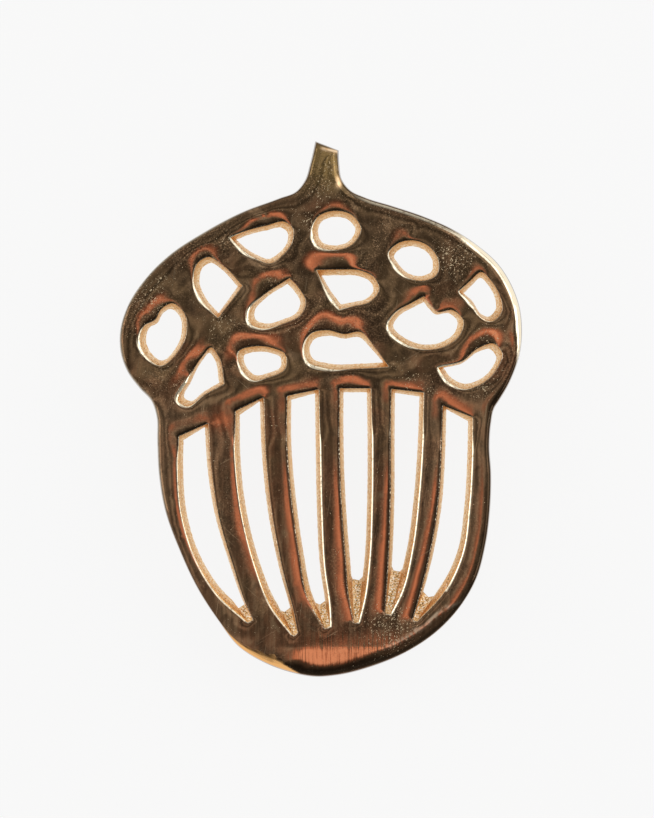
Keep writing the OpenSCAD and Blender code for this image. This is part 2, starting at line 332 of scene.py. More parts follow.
def drawn_in(ring: Array, distance: float) -> Array:
    """Draws a ring in towards the middle of its box, so that its four sides each move by a distance.

    Args:
        ring: Points in order.
        distance: How far the sides move.

    Returns:
        The smaller ring.
    """
    low, high = ring.min(axis=0), ring.max(axis=0)
    middle = (low + high) / 2
    return middle + (ring - middle) * (1 - 2 * distance / (high - low))


def blocks(numbers: Array) -> list[Array]:
    """Splits numbers into blocks, so that a table of points by sides stays small."""
    longest = 256
    return np.array_split(numbers, max(1, math.ceil(len(numbers) / longest)))


def distance_to_ring(points: Array, ring: Array, far: float) -> Array:
    """Distance from each point to the nearest side of a closed ring.

    Args:
        points: Places to measure from.
        ring: Points in order.
        far: Points beyond this distance from the ring's box aren't measured, and get this value.

    Returns:
        One distance a point.
    """
    out = np.full(len(points), far)
    low, high = ring.min(axis=0) - far, ring.max(axis=0) + far
    near = np.flatnonzero(((points > low) & (points < high)).all(axis=1))
    side = np.roll(ring, -1, axis=0) - ring
    square = (side**2).sum(axis=1)
    for part in blocks(near):
        gap_x = points[part, 0, None] - ring[:, 0]
        gap_y = points[part, 1, None] - ring[:, 1]
        along = np.clip((gap_x * side[:, 0] + gap_y * side[:, 1]) / square, 0.0, 1.0)
        gap_x -= along * side[:, 0]
        gap_y -= along * side[:, 1]
        out[part] = np.minimum(far, np.sqrt((gap_x * gap_x + gap_y * gap_y).min(axis=1)))
    return out


def inside_ring(points: Array, ring: Array) -> Array:
    """Whether each point lies in a ring: a line to the right crosses the ring an odd number of times.

    Args:
        points: Places to test.
        ring: Points in order.

    Returns:
        One truth a point.
    """
    out = np.zeros(len(points), dtype=bool)
    near = np.flatnonzero(((points >= ring.min(axis=0)) & (points <= ring.max(axis=0))).all(axis=1))
    end = np.roll(ring, -1, axis=0)
    rise = np.where(ring[:, 1] == end[:, 1], 1.0, end[:, 1] - ring[:, 1])
    lean = (end[:, 0] - ring[:, 0]) / rise
    for part in blocks(near):
        x, y = points[part, 0, None], points[part, 1, None]
        spans = (ring[:, 1] > y) != (end[:, 1] > y)
        cross = ring[:, 0] + (y - ring[:, 1]) * lean
        out[part] = (spans & (x < cross)).sum(axis=1) % 2 == 1
    return out


def in_metal(points: Array, rings: list[Array]) -> Array:
    """Whether each point lies in the first ring and in none of the others.

    Args:
        points: Places to test.
        rings: The outer ring and the rings of what is open.

    Returns:
        One truth a point.
    """
    metal = inside_ring(points, rings[0])
    for ring in rings[1:]:
        metal &= ~inside_ring(points, ring)
    return metal


def lattice(low: Array, high: Array, spacing: float) -> Array:
    """A lattice of equal triangles over a box: every other row is moved by half a step.

    Args:
        low: The box's lower corner.
        high: Its upper corner.
        spacing: The triangles' side.

    Returns:
        An array of x and y.
    """
    columns = np.arange(low[0], high[0], spacing)
    rows = np.arange(low[1], high[1], spacing * math.sqrt(3) / 2)
    x, y = np.meshgrid(columns, rows)
    x = x + (np.arange(len(rows)) % 2)[:, None] * spacing / 2
    return np.column_stack([x.ravel(), y.ravel()])


def filled(rings: list[Array], inner: Array) -> Array:
    """Triangles that fill the first ring, apart from the other rings, through all the inner points.

    It is a Delaunay fill that keeps the rings' sides. A triangle with a corner at an inner point lies in the
    metal, and the rest are tested by their middles.

    Args:
        rings: The outer ring and the rings to leave open.
        inner: Points between them.

    Returns:
        Rows of three numbers, counted through the rings and then the inner points.
    """
    tolerance = 1e-9
    rim = np.vstack(rings)
    counts = [len(ring) for ring in rings]
    ends = np.cumsum(counts)
    following = np.arange(len(rim)) + 1
    following[ends - 1] = ends - counts
    sides = np.column_stack([np.arange(len(rim)), following])
    points = np.vstack([rim, inner])
    found = delaunay_2d_cdt(points.tolist(), sides.tolist(), [], 0, tolerance, False)
    if len(found[0]) != len(points):
        raise ValueError("points of the fill fall together or its rings cross")
    faces = np.array(found[2])
    doubtful = (faces < len(rim)).all(axis=1)
    middles = points[faces].mean(axis=1)
    keep = ~doubtful
    keep[doubtful] = in_metal(middles[doubtful], rings)
    return faces[keep]


# Meshes


@dataclass
class MeshBuilder:
    """Gathers points and faces as arrays and makes one mesh of them."""

    points: list[Array] = field(default_factory=list)
    faces: list[tuple[Array, int]] = field(default_factory=list)
    count: int = 0

    def add_points(self, points: Array) -> Array:
        """Adds points.

        Args:
            points: Rows of three.

        Returns:
            Their numbers.
        """
        numbers = np.arange(self.count, self.count + len(points))
        self.points.append(points)
        self.count += len(points)
        return numbers

    def add_faces(self, faces: Array, skin: Skin = Skin.POLISHED) -> None:
        """Adds faces of equally many corners each."""
        self.faces.append((faces, skin.value))

    def add_strip(self, rings: Array, skin: Skin, flipped: bool = False) -> Array:
        """Adds closed rings with quads between them.

        Args:
            rings: Rings by points by three.
            skin: Material of the quads.
            flipped: Turns the quads over.

        Returns:
            The numbers of the points, rings by points.
        """
        numbers = self.add_points(rings.reshape(-1, 3)).reshape(rings.shape[:2])
        following = np.roll(numbers, -1, axis=1)
        quads = np.stack([numbers[:-1], following[:-1], following[1:], numbers[1:]], axis=2).reshape(-1, 4)
        self.add_faces(quads[:, ::-1] if flipped else quads, skin)
        return numbers

    def make(self, name: str, sharp_degrees: float) -> Object:
        """Makes the mesh object.

        Args:
            name: The piece's name.
            sharp_degrees: Edges that turn by more than this stay sharp.

        Returns:
            A smooth-shaded object at the origin.
        """
        mesh = bpy.data.meshes.new(name)
        points = np.vstack(self.points)
        corners = np.concatenate([faces.ravel() for faces, _ in self.faces])
        totals = np.concatenate([np.full(len(faces), faces.shape[1]) for faces, _ in self.faces])
        skins = np.concatenate([np.full(len(faces), skin) for faces, skin in self.faces])
        mesh.vertices.add(len(points))
        mesh.vertices.foreach_set("co", points.astype(np.float32).ravel())
        mesh.loops.add(len(corners))
        mesh.loops.foreach_set("vertex_index", corners.astype(np.int32))
        mesh.polygons.add(len(totals))
        mesh.polygons.foreach_set("loop_start", (np.cumsum(totals) - totals).astype(np.int32))
        mesh.polygons.foreach_set("loop_total", totals.astype(np.int32))
        mesh.polygons.foreach_set("material_index", skins.astype(np.int32))
        mesh.update(calc_edges=True)
        mesh.validate()
        mesh.shade_smooth()
        mesh.set_sharp_from_angle(angle=math.radians(sharp_degrees))
        piece = bpy.data.objects.new(name, mesh)
        bpy.context.scene.collection.objects.link(piece)
        return piece


def turned(profile: Array, middle: tuple[float, float], sides: int, way: int = 1) -> Array:
    """Turns a profile about an upright axis.

    Args:
        profile: Rows of radius and height.
        middle: The axis's place.
        sides: Points in a ring.
        way: 1 for rings that run anticlockwise seen from above, or -1.

    Returns:
        Rings by points by three.
    """
    angle = way * np.linspace(0.0, 2 * np.pi, sides, endpoint=False)
    circle = np.column_stack([np.cos(angle), np.sin(angle)])
    flat = np.array(middle) + profile[:, 0, None, None] * circle[None]
    z = np.broadcast_to(profile[:, 1, None, None], (len(profile), sides, 1))
    return np.concatenate([flat, z], axis=2)


def read(table: Any, name: str) -> Array:
    """Reads vectors from a mesh.

    Args:
        table: The mesh's points or normals.
        name: What is read from each.

    Returns:
        One vector a row.
    """
    out = np.empty(len(table) * 3, dtype=np.float32)
    table.foreach_get(name, out)
    return out.reshape(-1, 3)


def paint(mesh: Mesh, name: str, values: Array) -> None:
    """Stores one value a point as a named attribute."""
    layer = mesh.attributes.new(name, "FLOAT", "POINT")
    layer.data.foreach_set("value", values.astype(np.float32))


def smooth_step(low: float, high: float, values: Array) -> Array:
    """Rises from 0 at low to 1 at high on a cubic."""
    t = np.clip((values - low) / (high - low), 0.0, 1.0)
    return t * t * (3 - 2 * t)


def hump(values: Array, middle: Any, width: Any) -> Array:
    """Falls from 1 at the middle to both sides: the exponential of minus the squared distance in widths."""
    return np.exp(-(((values - middle) / width) ** 2))


# Shader nodes


@dataclass(frozen=True)
class Pattern:
    """A noise on coordinates that may be turned about Z and then stretched. A twist above 0 swirls it."""

    name: str
    scale: float | NodeSocket
    detail: float = 2.0
    roughness: float = 0.5
    twist: float = 0.0
    stretch: tuple[float, float, float] | None = None
    turn: float = 0.0


@dataclass(frozen=True)
class Layer:
    """A tone that covers what is below it by a named value, which may be mapped through a band.

    The cover is also multiplied by an amount and by a second value that limits it. A tone may be a value too.
    """

    value: str
    tone: Colour | str
    band: Band | None = None
    within: str | None = None
    amount: float = 1.0


@dataclass(frozen=True)
class Sheet:
    """Places and joins nodes in one shader tree."""

    tree: NodeTree

    def node(self, kind: str, inputs: dict[Any, Any] | None = None, **settings: Any) -> Node:
        """Adds a node.

        Args:
            kind: The node's type.
            inputs: Values or sockets by input name or number.
            **settings: The node's own properties.

        Returns:
            The node.
        """
        made = self.tree.nodes.new(kind)
        for name, value in settings.items():
            setattr(made, name, value)
        for key, value in (inputs or {}).items():
            if isinstance(value, NodeSocket):
                self.tree.links.new(value, made.inputs[key])
            else:
                made.inputs[key].default_value = value
        return made

    def axes(self, vector: Any) -> Any:
        """The three parts of a vector."""
        return self.node("ShaderNodeSeparateXYZ", {0: vector}).outputs

    def group(self, tree: NodeTree, inputs: dict[str, Any]) -> Any:
        """Places a shared group and returns its outputs."""
        return self.node("ShaderNodeGroup", inputs, node_tree=tree).outputs

    def pattern(self, place: Any, pattern: Pattern) -> Any:
        """A pattern's value at a place, about 0.5 in the middle.

        Args:
            place: The coordinates' socket.
            pattern: The noise to lay on them.

        Returns:
            The value's socket.
        """
        if pattern.stretch:
            turn = (0.0, 0.0, pattern.turn)
            place = self.node("ShaderNodeMapping", {"Vector": place, "Rotation": turn}).outputs[0]
            place = self.node("ShaderNodeMapping", {"Vector": place, "Scale": pattern.stretch}).outputs[0]
        inputs = {"Vector": place, "Scale": pattern.scale, "Detail": pattern.detail}
        inputs |= {"Roughness": pattern.roughness, "Distortion": pattern.twist}
        return self.node("ShaderNodeTexNoise", inputs).outputs[0]

    def layered(self, colour: Any, layers: tuple[Layer, ...], values: dict[str, Any]) -> Any:
        """Lays tones over a colour, one after another.

        Args:
            colour: The lowest tone.
            layers: What is laid on it, in order.
            values: Values by name.

        Returns:
            The colour's socket.
        """
        for layer in layers:
            cover = values[layer.value]
            if layer.band:
                cover = self.ranged(cover, *layer.band)
            if layer.within:
                cover = self.math("MULTIPLY", cover, values[layer.within])
            if layer.amount != 1.0:
                cover = self.math("MULTIPLY", cover, layer.amount)
            tone = values[layer.tone] if isinstance(layer.tone, str) else layer.tone
            colour = self.mix(cover, colour, tone)
        return colour

    def ranged(self, value: Any, low: float, high: float, start: float = 0.0, end: float = 1.0) -> Any:
        """Maps low to high smoothly onto start to end."""
        inputs = {"Value": value, "From Min": low, "From Max": high, "To Min": start, "To Max": end}
        return self.node("ShaderNodeMapRange", inputs, interpolation_type="SMOOTHSTEP").outputs[0]

    def ramp(self, value: Any, stops: tuple[tuple[float, float], ...]) -> Any:
        """Warm greys along a line from -1 to 1.

        Args:
            value: A value from -1 to 1.
            stops: Places from -1 to 1, each with a grey.

        Returns:
            The grey's socket.
        """
        warm_white = (1.0, 0.985, 0.96)
        share = self.node("ShaderNodeMapRange", {"Value": value, "From Min": -1.0}).outputs[0]
        made = self.node("ShaderNodeValToRGB", {0: share})
        made.color_ramp.interpolation = "EASE"
        while len(made.color_ramp.elements) < len(stops):
            made.color_ramp.elements.new(1.0)
        for element, (place, grey) in zip(made.color_ramp.elements, stops):
            element.position = (place + 1) / 2
            element.color = tuple(grey * part for part in warm_white) + (1.0,)
        return made.outputs[0]

    def math(self, operation: str, first: Any, second: Any = 0.0) -> Any:
        """One sum of two values."""
        return self.node("ShaderNodeMath", {0: first, 1: second}, operation=operation).outputs[0]

    def mix(self, factor: Any, first: Any, second: Any) -> Any:
        """Mixes two colours."""
        inputs = {0: factor, 6: first, 7: second}
        return self.node("ShaderNodeMix", inputs, data_type="RGBA").outputs[2]

    def bump(self, height: Any, strength: float, distance: float, normal: Any = None) -> Any:
        """A normal that follows a height.

        Args:
            height: The height's socket.
            strength: Its share.
            distance: How high 1 is.
            normal: The normal below it.

        Returns:
            The normal's socket.
        """
        inputs = {"Height": height, "Strength": strength, "Distance": distance}
        if normal is not None:
            inputs["Normal"] = normal
        return self.node("ShaderNodeBump", inputs).outputs[0]


class Effects:
    """Shader groups that several finishes share, each built once."""

    def __init__(self) -> None:
        """Builds every group."""
        self.hairlines = self._hairlines()
        self.specks = self._specks()

    @staticmethod
    def _group(name: str, inputs: dict[str, float], outputs: list[str]) -> tuple[Any, Any, Any]:
        """Starts a group.

        Args:
            name: The group's name.
            inputs: Value inputs with their defaults, beside the Vector input.
            outputs: Value outputs.

        Returns:
            Its sheet, its input node and its output node.
        """
        tree = bpy.data.node_groups.new(name, "ShaderNodeTree")
        tree.interface.new_socket("Vector", in_out="INPUT", socket_type="NodeSocketVector")
        for label, value in inputs.items():
            socket = tree.interface.new_socket(label, in_out="INPUT", socket_type="NodeSocketFloat")
            socket.default_value = value
        for label in outputs:
            tree.interface.new_socket(label, in_out="OUTPUT", socket_type="NodeSocketFloat")
        sheet = Sheet(tree)
        return sheet, sheet.node("NodeGroupInput"), sheet.node("NodeGroupOutput")

    def _hairlines(self) -> NodeTree:
        """Fine polishing scratches in several directions.

        Each layer is noise that is stretched forty times along one direction and cut to its highest
        values, and a coarse noise decides where it shows.

        Returns:
            A group with the outputs Lines and Haze.
        """
        sheet, given, result = self._group("hairlines", {"Amount": 1.0}, ["Lines", "Haze"])
        vector = given.outputs["Vector"]
        length, softness, shown = 40, 0.08, (0.45, 0.62)
        brushing = Pattern("haze", 1, 3, stretch=(900, 60, 60))
        total: Any = 0.0
        for turn, across, cut in ((0.15, 2600.0, 0.68), (1.05, 1900.0, 0.71), (2.30, 2200.0, 0.70)):
            stretch = (across, across / length, across / length)
            streak = sheet.pattern(vector, Pattern("streak", 1, 1, stretch=stretch, turn=turn))
            patches = sheet.pattern(vector, Pattern("patches", 90, 1, stretch=(1, 1, 1), turn=turn))
            where = sheet.ranged(patches, *shown)
            line = sheet.math("MULTIPLY", sheet.ranged(streak, cut, cut + softness), where)
            total = sheet.math("ADD", total, line)
        lines = sheet.math("MULTIPLY", total, given.outputs["Amount"])
        sheet.tree.links.new(lines, result.inputs["Lines"])
        sheet.tree.links.new(sheet.pattern(vector, brushing), result.inputs["Haze"])
        return sheet.tree

    def _specks(self) -> NodeTree:
        """Small irregular flecks, gathered in clusters.

        A fine noise is cut to its highest values, and a coarse noise lifts it where there is a cluster.

        Returns:
            A group with the output Spots.
        """
        sheet, given, result = self._group("specks", {"Scale": 2100.0, "Cut": 0.78}, ["Spots"])
        vector = given.outputs["Vector"]
        clusters, lifted, softness = Pattern("clusters", 60, 4, 0.7), (0.46, 0.74, 0, 0.10), 0.05
        flecks = Pattern("flecks", given.outputs["Scale"], 2, 0.7, stretch=(1, 0.65, 1), turn=0.7)
        cluster = sheet.ranged(sheet.pattern(vector, clusters), *lifted)
        lifted_flecks = sheet.math("ADD", sheet.pattern(vector, flecks), cluster)
        above = sheet.math("SUBTRACT", lifted_flecks, given.outputs["Cut"])
        sheet.tree.links.new(sheet.ranged(above, 0.0, softness), result.inputs["Spots"])
        return sheet.tree


# Finishes


@dataclass(frozen=True, kw_only=True)
class Finish:
    """A metal: noise patterns and painted masks, tones laid where they run, a roughness and a relief.

    The roughness is one value mapped through a band, with shares of other values added to it. The relief is a
    chain of bumps, each with its value, strength and distance.
    """

    name: str = ""
    ground: Colour = (0.0, 0.0, 0.0, 1.0)
    masks: tuple[str, ...] = ()
    patterns: tuple[Pattern, ...] = ()
    layers: tuple[Layer, ...] = ()
    rough: tuple[str, Band] = ("", ())
    roughened: tuple[tuple[str, float], ...] = ()
    relief: Relief = ()

    def derive(self, sheet: Sheet, values: dict[str, Any]) -> None:
        """Adds values that are worked out from others, as each finish needs."""

    def material(self) -> Material:
        """Builds the material.

        Returns:
            A metal on the piece's own coordinates and masks.
        """
        made = bpy.data.materials.new(self.name)
        made.use_nodes = True
        sheet = Sheet(made.node_tree)
        shader = made.node_tree.nodes["Principled BSDF"]
        coordinates = sheet.node("ShaderNodeTexCoord").outputs
        values = {"place": coordinates["Object"], "uv": coordinates["UV"]}
        values["x"], values["y"], values["z"] = sheet.axes(values["place"])
        for pattern in self.patterns:
            values[pattern.name] = sheet.pattern(values["place"], pattern)
        for mask in self.masks:
            values[mask] = sheet.node("ShaderNodeAttribute", attribute_name=mask).outputs["Fac"]
        self.derive(sheet, values)
        source, band = self.rough
        rough = sheet.ranged(values[source], *band)
        for name, share in self.roughened:
            rough = sheet.math("ADD", rough, sheet.math("MULTIPLY", values[name], share))
        normal = None
        for name, strength, distance in self.relief:
            normal = sheet.bump(values[name], strength, distance, normal)
        sheet.tree.links.new(sheet.layered(self.ground, self.layers, values), shader.inputs["Base Color"])
        sheet.tree.links.new(rough, shader.inputs["Roughness"])
        sheet.tree.links.new(normal, shader.inputs["Normal"])
        shader.inputs["Metallic"].default_value = 1.0
        return made


@dataclass(frozen=True, kw_only=True)
class PolishedBrass(Finish):
    """Buffed brass gone olive and brown, with painted copper and dark reflections beside the openings and
    painted highlights.
    """

    effects: Effects
    name: str = "polished_brass"
    shade: Colour = (0.075, 0.046, 0.025, 1.0)
    olive: Colour = (0.15, 0.092, 0.046, 1.0)
    brown: Colour = (0.175, 0.082, 0.042, 1.0)
    # Tones of the painted copper reflection, from dim to bright
    dim_copper_reflection: Colour = (0.255, 0.086, 0.04, 1.0)
    copper_reflection: Colour = (0.54, 0.165, 0.072, 1.0)
    bright_copper_reflection: Colour = (0.72, 0.265, 0.125, 1.0)
    # Near black, for dark mottle and grain and for the painted dark reflection and shade
    soot_and_dark_reflection: Colour = (0.032, 0.021, 0.013, 1.0)
    smudge: Colour = (0.27, 0.17, 0.095, 1.0)
    glint: Colour = (0.42, 0.265, 0.15, 1.0)
    # The stem's yellower tone, which also carries a painted sheen on its right side
    yellow: Colour = (0.4, 0.27, 0.095, 1.0)
    # Tones of the painted highlights, gold and pale; the pale one also flecks the crumbly edges
    gilt: Colour = (0.86, 0.46, 0.165, 1.0)
    painted_highlight: Colour = (1.0, 0.88, 0.66, 1.0)
    speck: Colour = (0.86, 0.69, 0.45, 1.0)
    ground: Colour = olive
    # Masks painted on the face: a copper reflection, a dark reflection and shade, the stem's yellow with a
    # painted sheen, highlights, gold highlights, pits and crumbly edges
    masks: tuple[str, ...] = ("painted_reflection", "tarnish", "fresh", "painted_highlight", "gilt", "pitted", "edge")
    patterns: tuple[Pattern, ...] = (
        Pattern("cloud", 55, 3, 0.6),
        Pattern("mottle", 260, 5, 0.66, stretch=(1, 0.6, 1), turn=0.5),
        Pattern("swirl", 75, 4, 0.6, 1.2, stretch=(1, 0.7, 1), turn=-0.4),
        Pattern("evenness", 80, 4, 0.64),
        Pattern("scuffs", 1, stretch=(3000, 130, 130)),
        Pattern("grain", 2100, 2, 0.6),
        Pattern("patches", 48, 3, 0.6),
        Pattern("crumbs", 2520, 2, 0.6),
        Pattern("breaks", 800, 2, 0.6),
        Pattern("swell", 62, 1, 0.5, 0.9),
        Pattern("ripple", 130, 2, 0.5),
    )
    layers: tuple[Layer, ...] = (
        Layer("cloud", brown, (0.34, 0.62)),
        Layer("swirl", shade, (0.51, 0.37, 0, 0.75)),
        Layer("y", shade, (20 * MM, 60 * MM, 0, 0.6)),
        Layer("swirl", smudge, (0.57, 0.71, 0, 0.85)),
        Layer("aside", smudge, (24 * MM, 33 * MM, 0, 0.35), within="below_cap"),
        # The stem's yellower tone, with a painted sheen on its right side
        Layer("fresh", yellow, amount=0.55),
        Layer("haze", smudge, (0.48, 0.72, 0, 0.45), within="brushed"),
        Layer("haze", shade, (0.50, 0.30, 0, 0.5), within="brushed"),
        Layer("mottle", soot_and_dark_reflection, (0.50, 0.30, 0, 0.5)),
        Layer("mottle", smudge, (0.55, 0.74, 0, 0.5)),
        # The painted copper reflection, dim, middling and bright
        Layer("heat", dim_copper_reflection, (0.03, 0.55)),
        Layer("heat", copper_reflection, (0.30, 0.90)),
        Layer("heat", bright_copper_reflection, (0.80, 1.10, 0, 0.7)),
        Layer("grain", soot_and_dark_reflection, (0.50, 0.34, 0, 0.65), within="patches"),
        Layer("grain", glint, (0.54, 0.68, 0, 0.65), within="patches"),
        # The painted dark reflection and shade
        Layer("tarnish", soot_and_dark_reflection, amount=0.9),
        # Crumbly steep edges, flecked with the highlight tone: partly the cast's crumbs and partly painted
        # glints
        Layer("crumbs", painted_highlight, (0.55, 0.62), within="edge"),
        # The painted gold highlight on the lower left bevel and the stem's crest and fillet
        Layer("gilt", gilt),
        # The painted highlights, broken up by noise
        Layer("breaks", painted_highlight, (0.34, 0.46, 0.5, 1), within="painted_highlight"),
        Layer("lines", speck, amount=0.12),
        Layer("spots", speck, amount=0.75),
    )
    rough: tuple[str, Band] = ("haze", (0.3, 0.8, 0.06, 0.12))
    roughened: tuple[tuple[str, float], ...] = (("lines", 0.18), ("spots", 0.35))
    relief: Relief = (
        ("swell", 1.0, 0.35 * MM),
        ("ripple", 0.6, 0.07 * MM),
        ("lines", 0.35, 0.02 * MM),
        ("spots", 0.6, 0.08 * MM),
    )
    speck_cut: Band = (0, 1.4, 0.725, 0.59)
    browner_below: Band = (50 * MM, -50 * MM, -0.1, 0.1)
    cap_end: Band = (12 * MM, 0)
    brushed_nut: Band = (0, 1, 0.25, 1)
    uneven: Band = (0.31, 0.53, 0.45, 1.15)
    steady_bars: Band = (-6 * MM, -22 * MM, 0, 0.9)
    scuffed: Band = (0.53, 0.37, 0, 0.75)
    scuffed_base: Band = (-68 * MM, -76 * MM)
    patched: Band = (0.42, 0.62, 0.22, 1)
    patched_reflection: Band = (0.1, 0.9, 1, 0.6)
    patched_nut: Band = (0, 1, 1, 0.55)
    swollen_cap: Band = (0, 20 * MM, 0.25)

    def derive(self, sheet: Sheet, values: dict[str, Any]) -> None:
        """Adds the shared effects, the amount of painted copper reflection and where streaks, grain and swell
        show.

        That amount is the painted copper reflection's mask times an uneven noise, which is steady on the bars
        and scuffed at the base.

        Args:
            sheet: The material's sheet.
            values: Values by name, which are added to.
        """
        place, height, painted_reflection = values["place"], values["y"], values["painted_reflection"]
        lines = sheet.group(self.effects.hairlines, {"Vector": place})
        values["lines"], values["haze"] = lines["Lines"], lines["Haze"]
        cut = sheet.ranged(values["pitted"], *self.speck_cut)
        values["spots"] = sheet.group(self.effects.specks, {"Vector": place, "Cut": cut})["Spots"]
        values["cloud"] = sheet.math("ADD", values["cloud"], sheet.ranged(height, *self.browner_below))
        values["aside"] = sheet.math("ABSOLUTE", values["x"])
        below_cap = sheet.ranged(height, *self.cap_end)
        values["below_cap"] = below_cap
        values["brushed"] = sheet.ranged(below_cap, *self.brushed_nut)
        even = sheet.ranged(values["evenness"], *self.uneven)
        even = sheet.math("MAXIMUM", even, sheet.ranged(height, *self.steady_bars))
        scuffs = sheet.ranged(values["scuffs"], *self.scuffed)
        scuffs = sheet.math("MULTIPLY", scuffs, sheet.ranged(height, *self.scuffed_base))
        even = sheet.math("MULTIPLY", even, sheet.math("SUBTRACT", 1.0, scuffs))
        # How much painted copper reflection shows at each place
        values["heat"] = sheet.math("MULTIPLY", painted_reflection, even)
        patches = sheet.ranged(values["patches"], *self.patched)
        patches = sheet.math("MULTIPLY", patches, sheet.ranged(painted_reflection, *self.patched_reflection))
        values["patches"] = sheet.math("MULTIPLY", patches, sheet.ranged(below_cap, *self.patched_nut))
        values["swell"] = sheet.math("MULTIPLY", values["swell"], sheet.ranged(height, *self.swollen_cap))


@dataclass(frozen=True, kw_only=True)
class CastBrass(Finish):
    """Brass as it came from the sand: peach-gold and grainy, darker near the face and dull underneath."""

    name: str = "cast_brass"
    pale: Colour = (1.0, 0.84, 0.6, 1.0)
    gold: Colour = (0.86, 0.51, 0.21, 1.0)
    amber: Colour = (0.68, 0.37, 0.13, 1.0)
    dull: Colour = (0.4, 0.25, 0.11, 1.0)
    dark: Colour = (0.2, 0.105, 0.045, 1.0)
    white: Colour = (1.0, 0.96, 0.86, 1.0)
    black: Colour = (0.06, 0.042, 0.025, 1.0)
    ground: Colour = gold
    masks: tuple[str, ...] = ("under", "raw", "shaded")
    patterns: tuple[Pattern, ...] = (
        Pattern("grain", 1500, 3, 0.65),
        Pattern("lumps", 250, 2, 0.5),
        Pattern("crumbs", 1950, 2, 0.6),
    )
    layers: tuple[Layer, ...] = (
        Layer("grain", pale, (0.38, 0.66)),
        Layer("rise", amber, amount=0.75),
        Layer("grain", dark, (0.46, 0.34), within="grimy"),
        Layer("lumps", gold, (0.5, 0.75, 0, 0.5)),
        Layer("rise", amber, (0, 1, 0.25, 0.9), within="shaded"),
        Layer("lumps", dull, (0.3, 0.6, 1, 0.6), within="under"),
        Layer("raw", "rough_gold"),
    )
    raw_layers: tuple[Layer, ...] = (
        Layer("crumbs", black, (0.45, 0.37)),
        Layer("crumbs", white, (0.53, 0.60)),
    )
    rough: tuple[str, Band] = ("grain", (0.3, 0.7, 0.52, 0.30))
    relief: Relief = (("lumps", 0.5, 0.5 * MM), ("grain", 0.7, 0.25 * MM))
    darkening: Band = (15.8 * MM, 19.4 * MM)
    grimier_above: Band = (0, 1, 0.15, 0.85)

    def derive(self, sheet: Sheet, values: dict[str, Any]) -> None:
        """Adds the rise towards the face, the grime that grows with it and the gold of the raw floors.

        Args:
            sheet: The material's sheet.
            values: Values by name, which are added to.
        """
        values["rise"] = sheet.ranged(values["z"], *self.darkening)
        values["grimy"] = sheet.ranged(values["rise"], *self.grimier_above)
        values["rough_gold"] = sheet.layered(self.gold, self.raw_layers, values)


@dataclass(frozen=True, kw_only=True)
class TurnedBrass(Finish):
    """Brass off the lathe, with fine rings from the tool that follow the foot's own UV map."""

    effects: Effects
    name: str = "turned_brass"
    dull: Colour = (0.42, 0.27, 0.12, 1.0)
    ground: Colour = (0.64, 0.44, 0.2, 1.0)
    patterns: tuple[Pattern, ...] = (Pattern("tarnish", 180, 3, 0.6),)
    layers: tuple[Layer, ...] = (Layer("tarnish", dull, (0.40, 0.66)), Layer("spots", dull))
    rough: tuple[str, Band] = ("rings", (0.3, 0.7, 0.20, 0.38))
    relief: Relief = (("rings", 0.35, 0.06 * MM),)
    rings: Pattern = Pattern("rings", 46, 4, 0.7)
    speck_scale: float = 700.0
    speck_cut: float = 0.68

    def derive(self, sheet: Sheet, values: dict[str, Any]) -> None:
        """Adds the rings along the UV map and the shared specks.

        Args:
            sheet: The material's sheet.
            values: Values by name, which are added to.
        """
        along = sheet.axes(values["uv"])[1]
        values["rings"] = sheet.pattern(sheet.node("ShaderNodeCombineXYZ", {1: along}).outputs[0], self.rings)
        inputs = {"Vector": values["place"], "Scale": self.speck_scale, "Cut": self.speck_cut}
        values["spots"] = sheet.group(self.effects.specks, inputs)["Spots"]


@dataclass(frozen=True, kw_only=True)
class StudSteel(Finish):
    """Plain steel with smears of oil and the ridges of a thread, which follow height."""

    name: str = "stud_steel"
    oil: Colour = (0.25, 0.235, 0.21, 1.0)
    ground: Colour = (0.43, 0.43, 0.42, 1.0)
    patterns: tuple[Pattern, ...] = (Pattern("smear", 400, 3),)
    layers: tuple[Layer, ...] = (Layer("smear", oil),)
    rough: tuple[str, Band] = ("smear", (0, 1, 0.28, 0.42))
    relief: Relief = (("ridges", 0.8, 0.3 * MM),)
    smeared: Band = (0.42, 0.62)
    pitch: float = 0.7 * MM

    def derive(self, sheet: Sheet, values: dict[str, Any]) -> None:
        """Adds the smears and the ridges, which rise and fall once in each pitch.

        Args:
            sheet: The material's sheet.
            values: Values by name, which are added to.
        """
        values["smear"] = sheet.ranged(values["smear"], *self.smeared)
        ridges = sheet.math("PINGPONG", values["z"], self.pitch / 2)
        values["ridges"] = sheet.math("MULTIPLY", ridges, 2 / self.pitch)


# The plate


@dataclass(frozen=True)
class Bell:
    """A strength that is greatest in one direction from an opening's axis and falls off to both sides."""

    towards: float
    spread: float
    share: float = 1.0
    least: float = 0.0

    def at(self, turns: Array) -> Array:
        """The strength at directions in degrees: a hump about the greatest, over a least value."""
        away = (turns - self.towards + 180.0) % 360.0 - 180.0
        return self.share * (self.least + (1 - self.least) * hump(away, 0.0, self.spread))


@dataclass(frozen=True)
class Zone:
    """A part of the face with soft sides, in pairs of millimetres: where it is clear and where it is full."""

    x: Band = ()
    y: Band = ()
    rim: Band = ()
    amount: float = 1.0

    def at(self, places: Array, to_rim: Array | None = None) -> Array:
        """How far each place lies in the zone.

        Args:
            places: An array of x and y in millimetres.
            to_rim: Distances to the rim in millimetres, for a zone that asks for them.

        Returns:
            The amount times the smooth steps over all the sides.
        """
        out = np.full(len(places), self.amount)
        for values, sides in ((places[:, 0], self.x), (places[:, 1], self.y), (to_rim, self.rim)):
            for clear, full in zip(sides[::2], sides[1::2]):
                out = out * smooth_step(clear, full, values)
        return out


@dataclass(frozen=True)
class Spot:
    """A round patch of the face, in millimetres, which is strongest in its middle."""

    x: float
    y: float
    radius: float
    amount: float

    def at(self, places: Array) -> Array:
        """The amount times the exponential of minus the squared distance over the squared radius."""
        return self.amount * np.exp(-((places - (self.x, self.y)) ** 2).sum(axis=1) / self.radius**2)


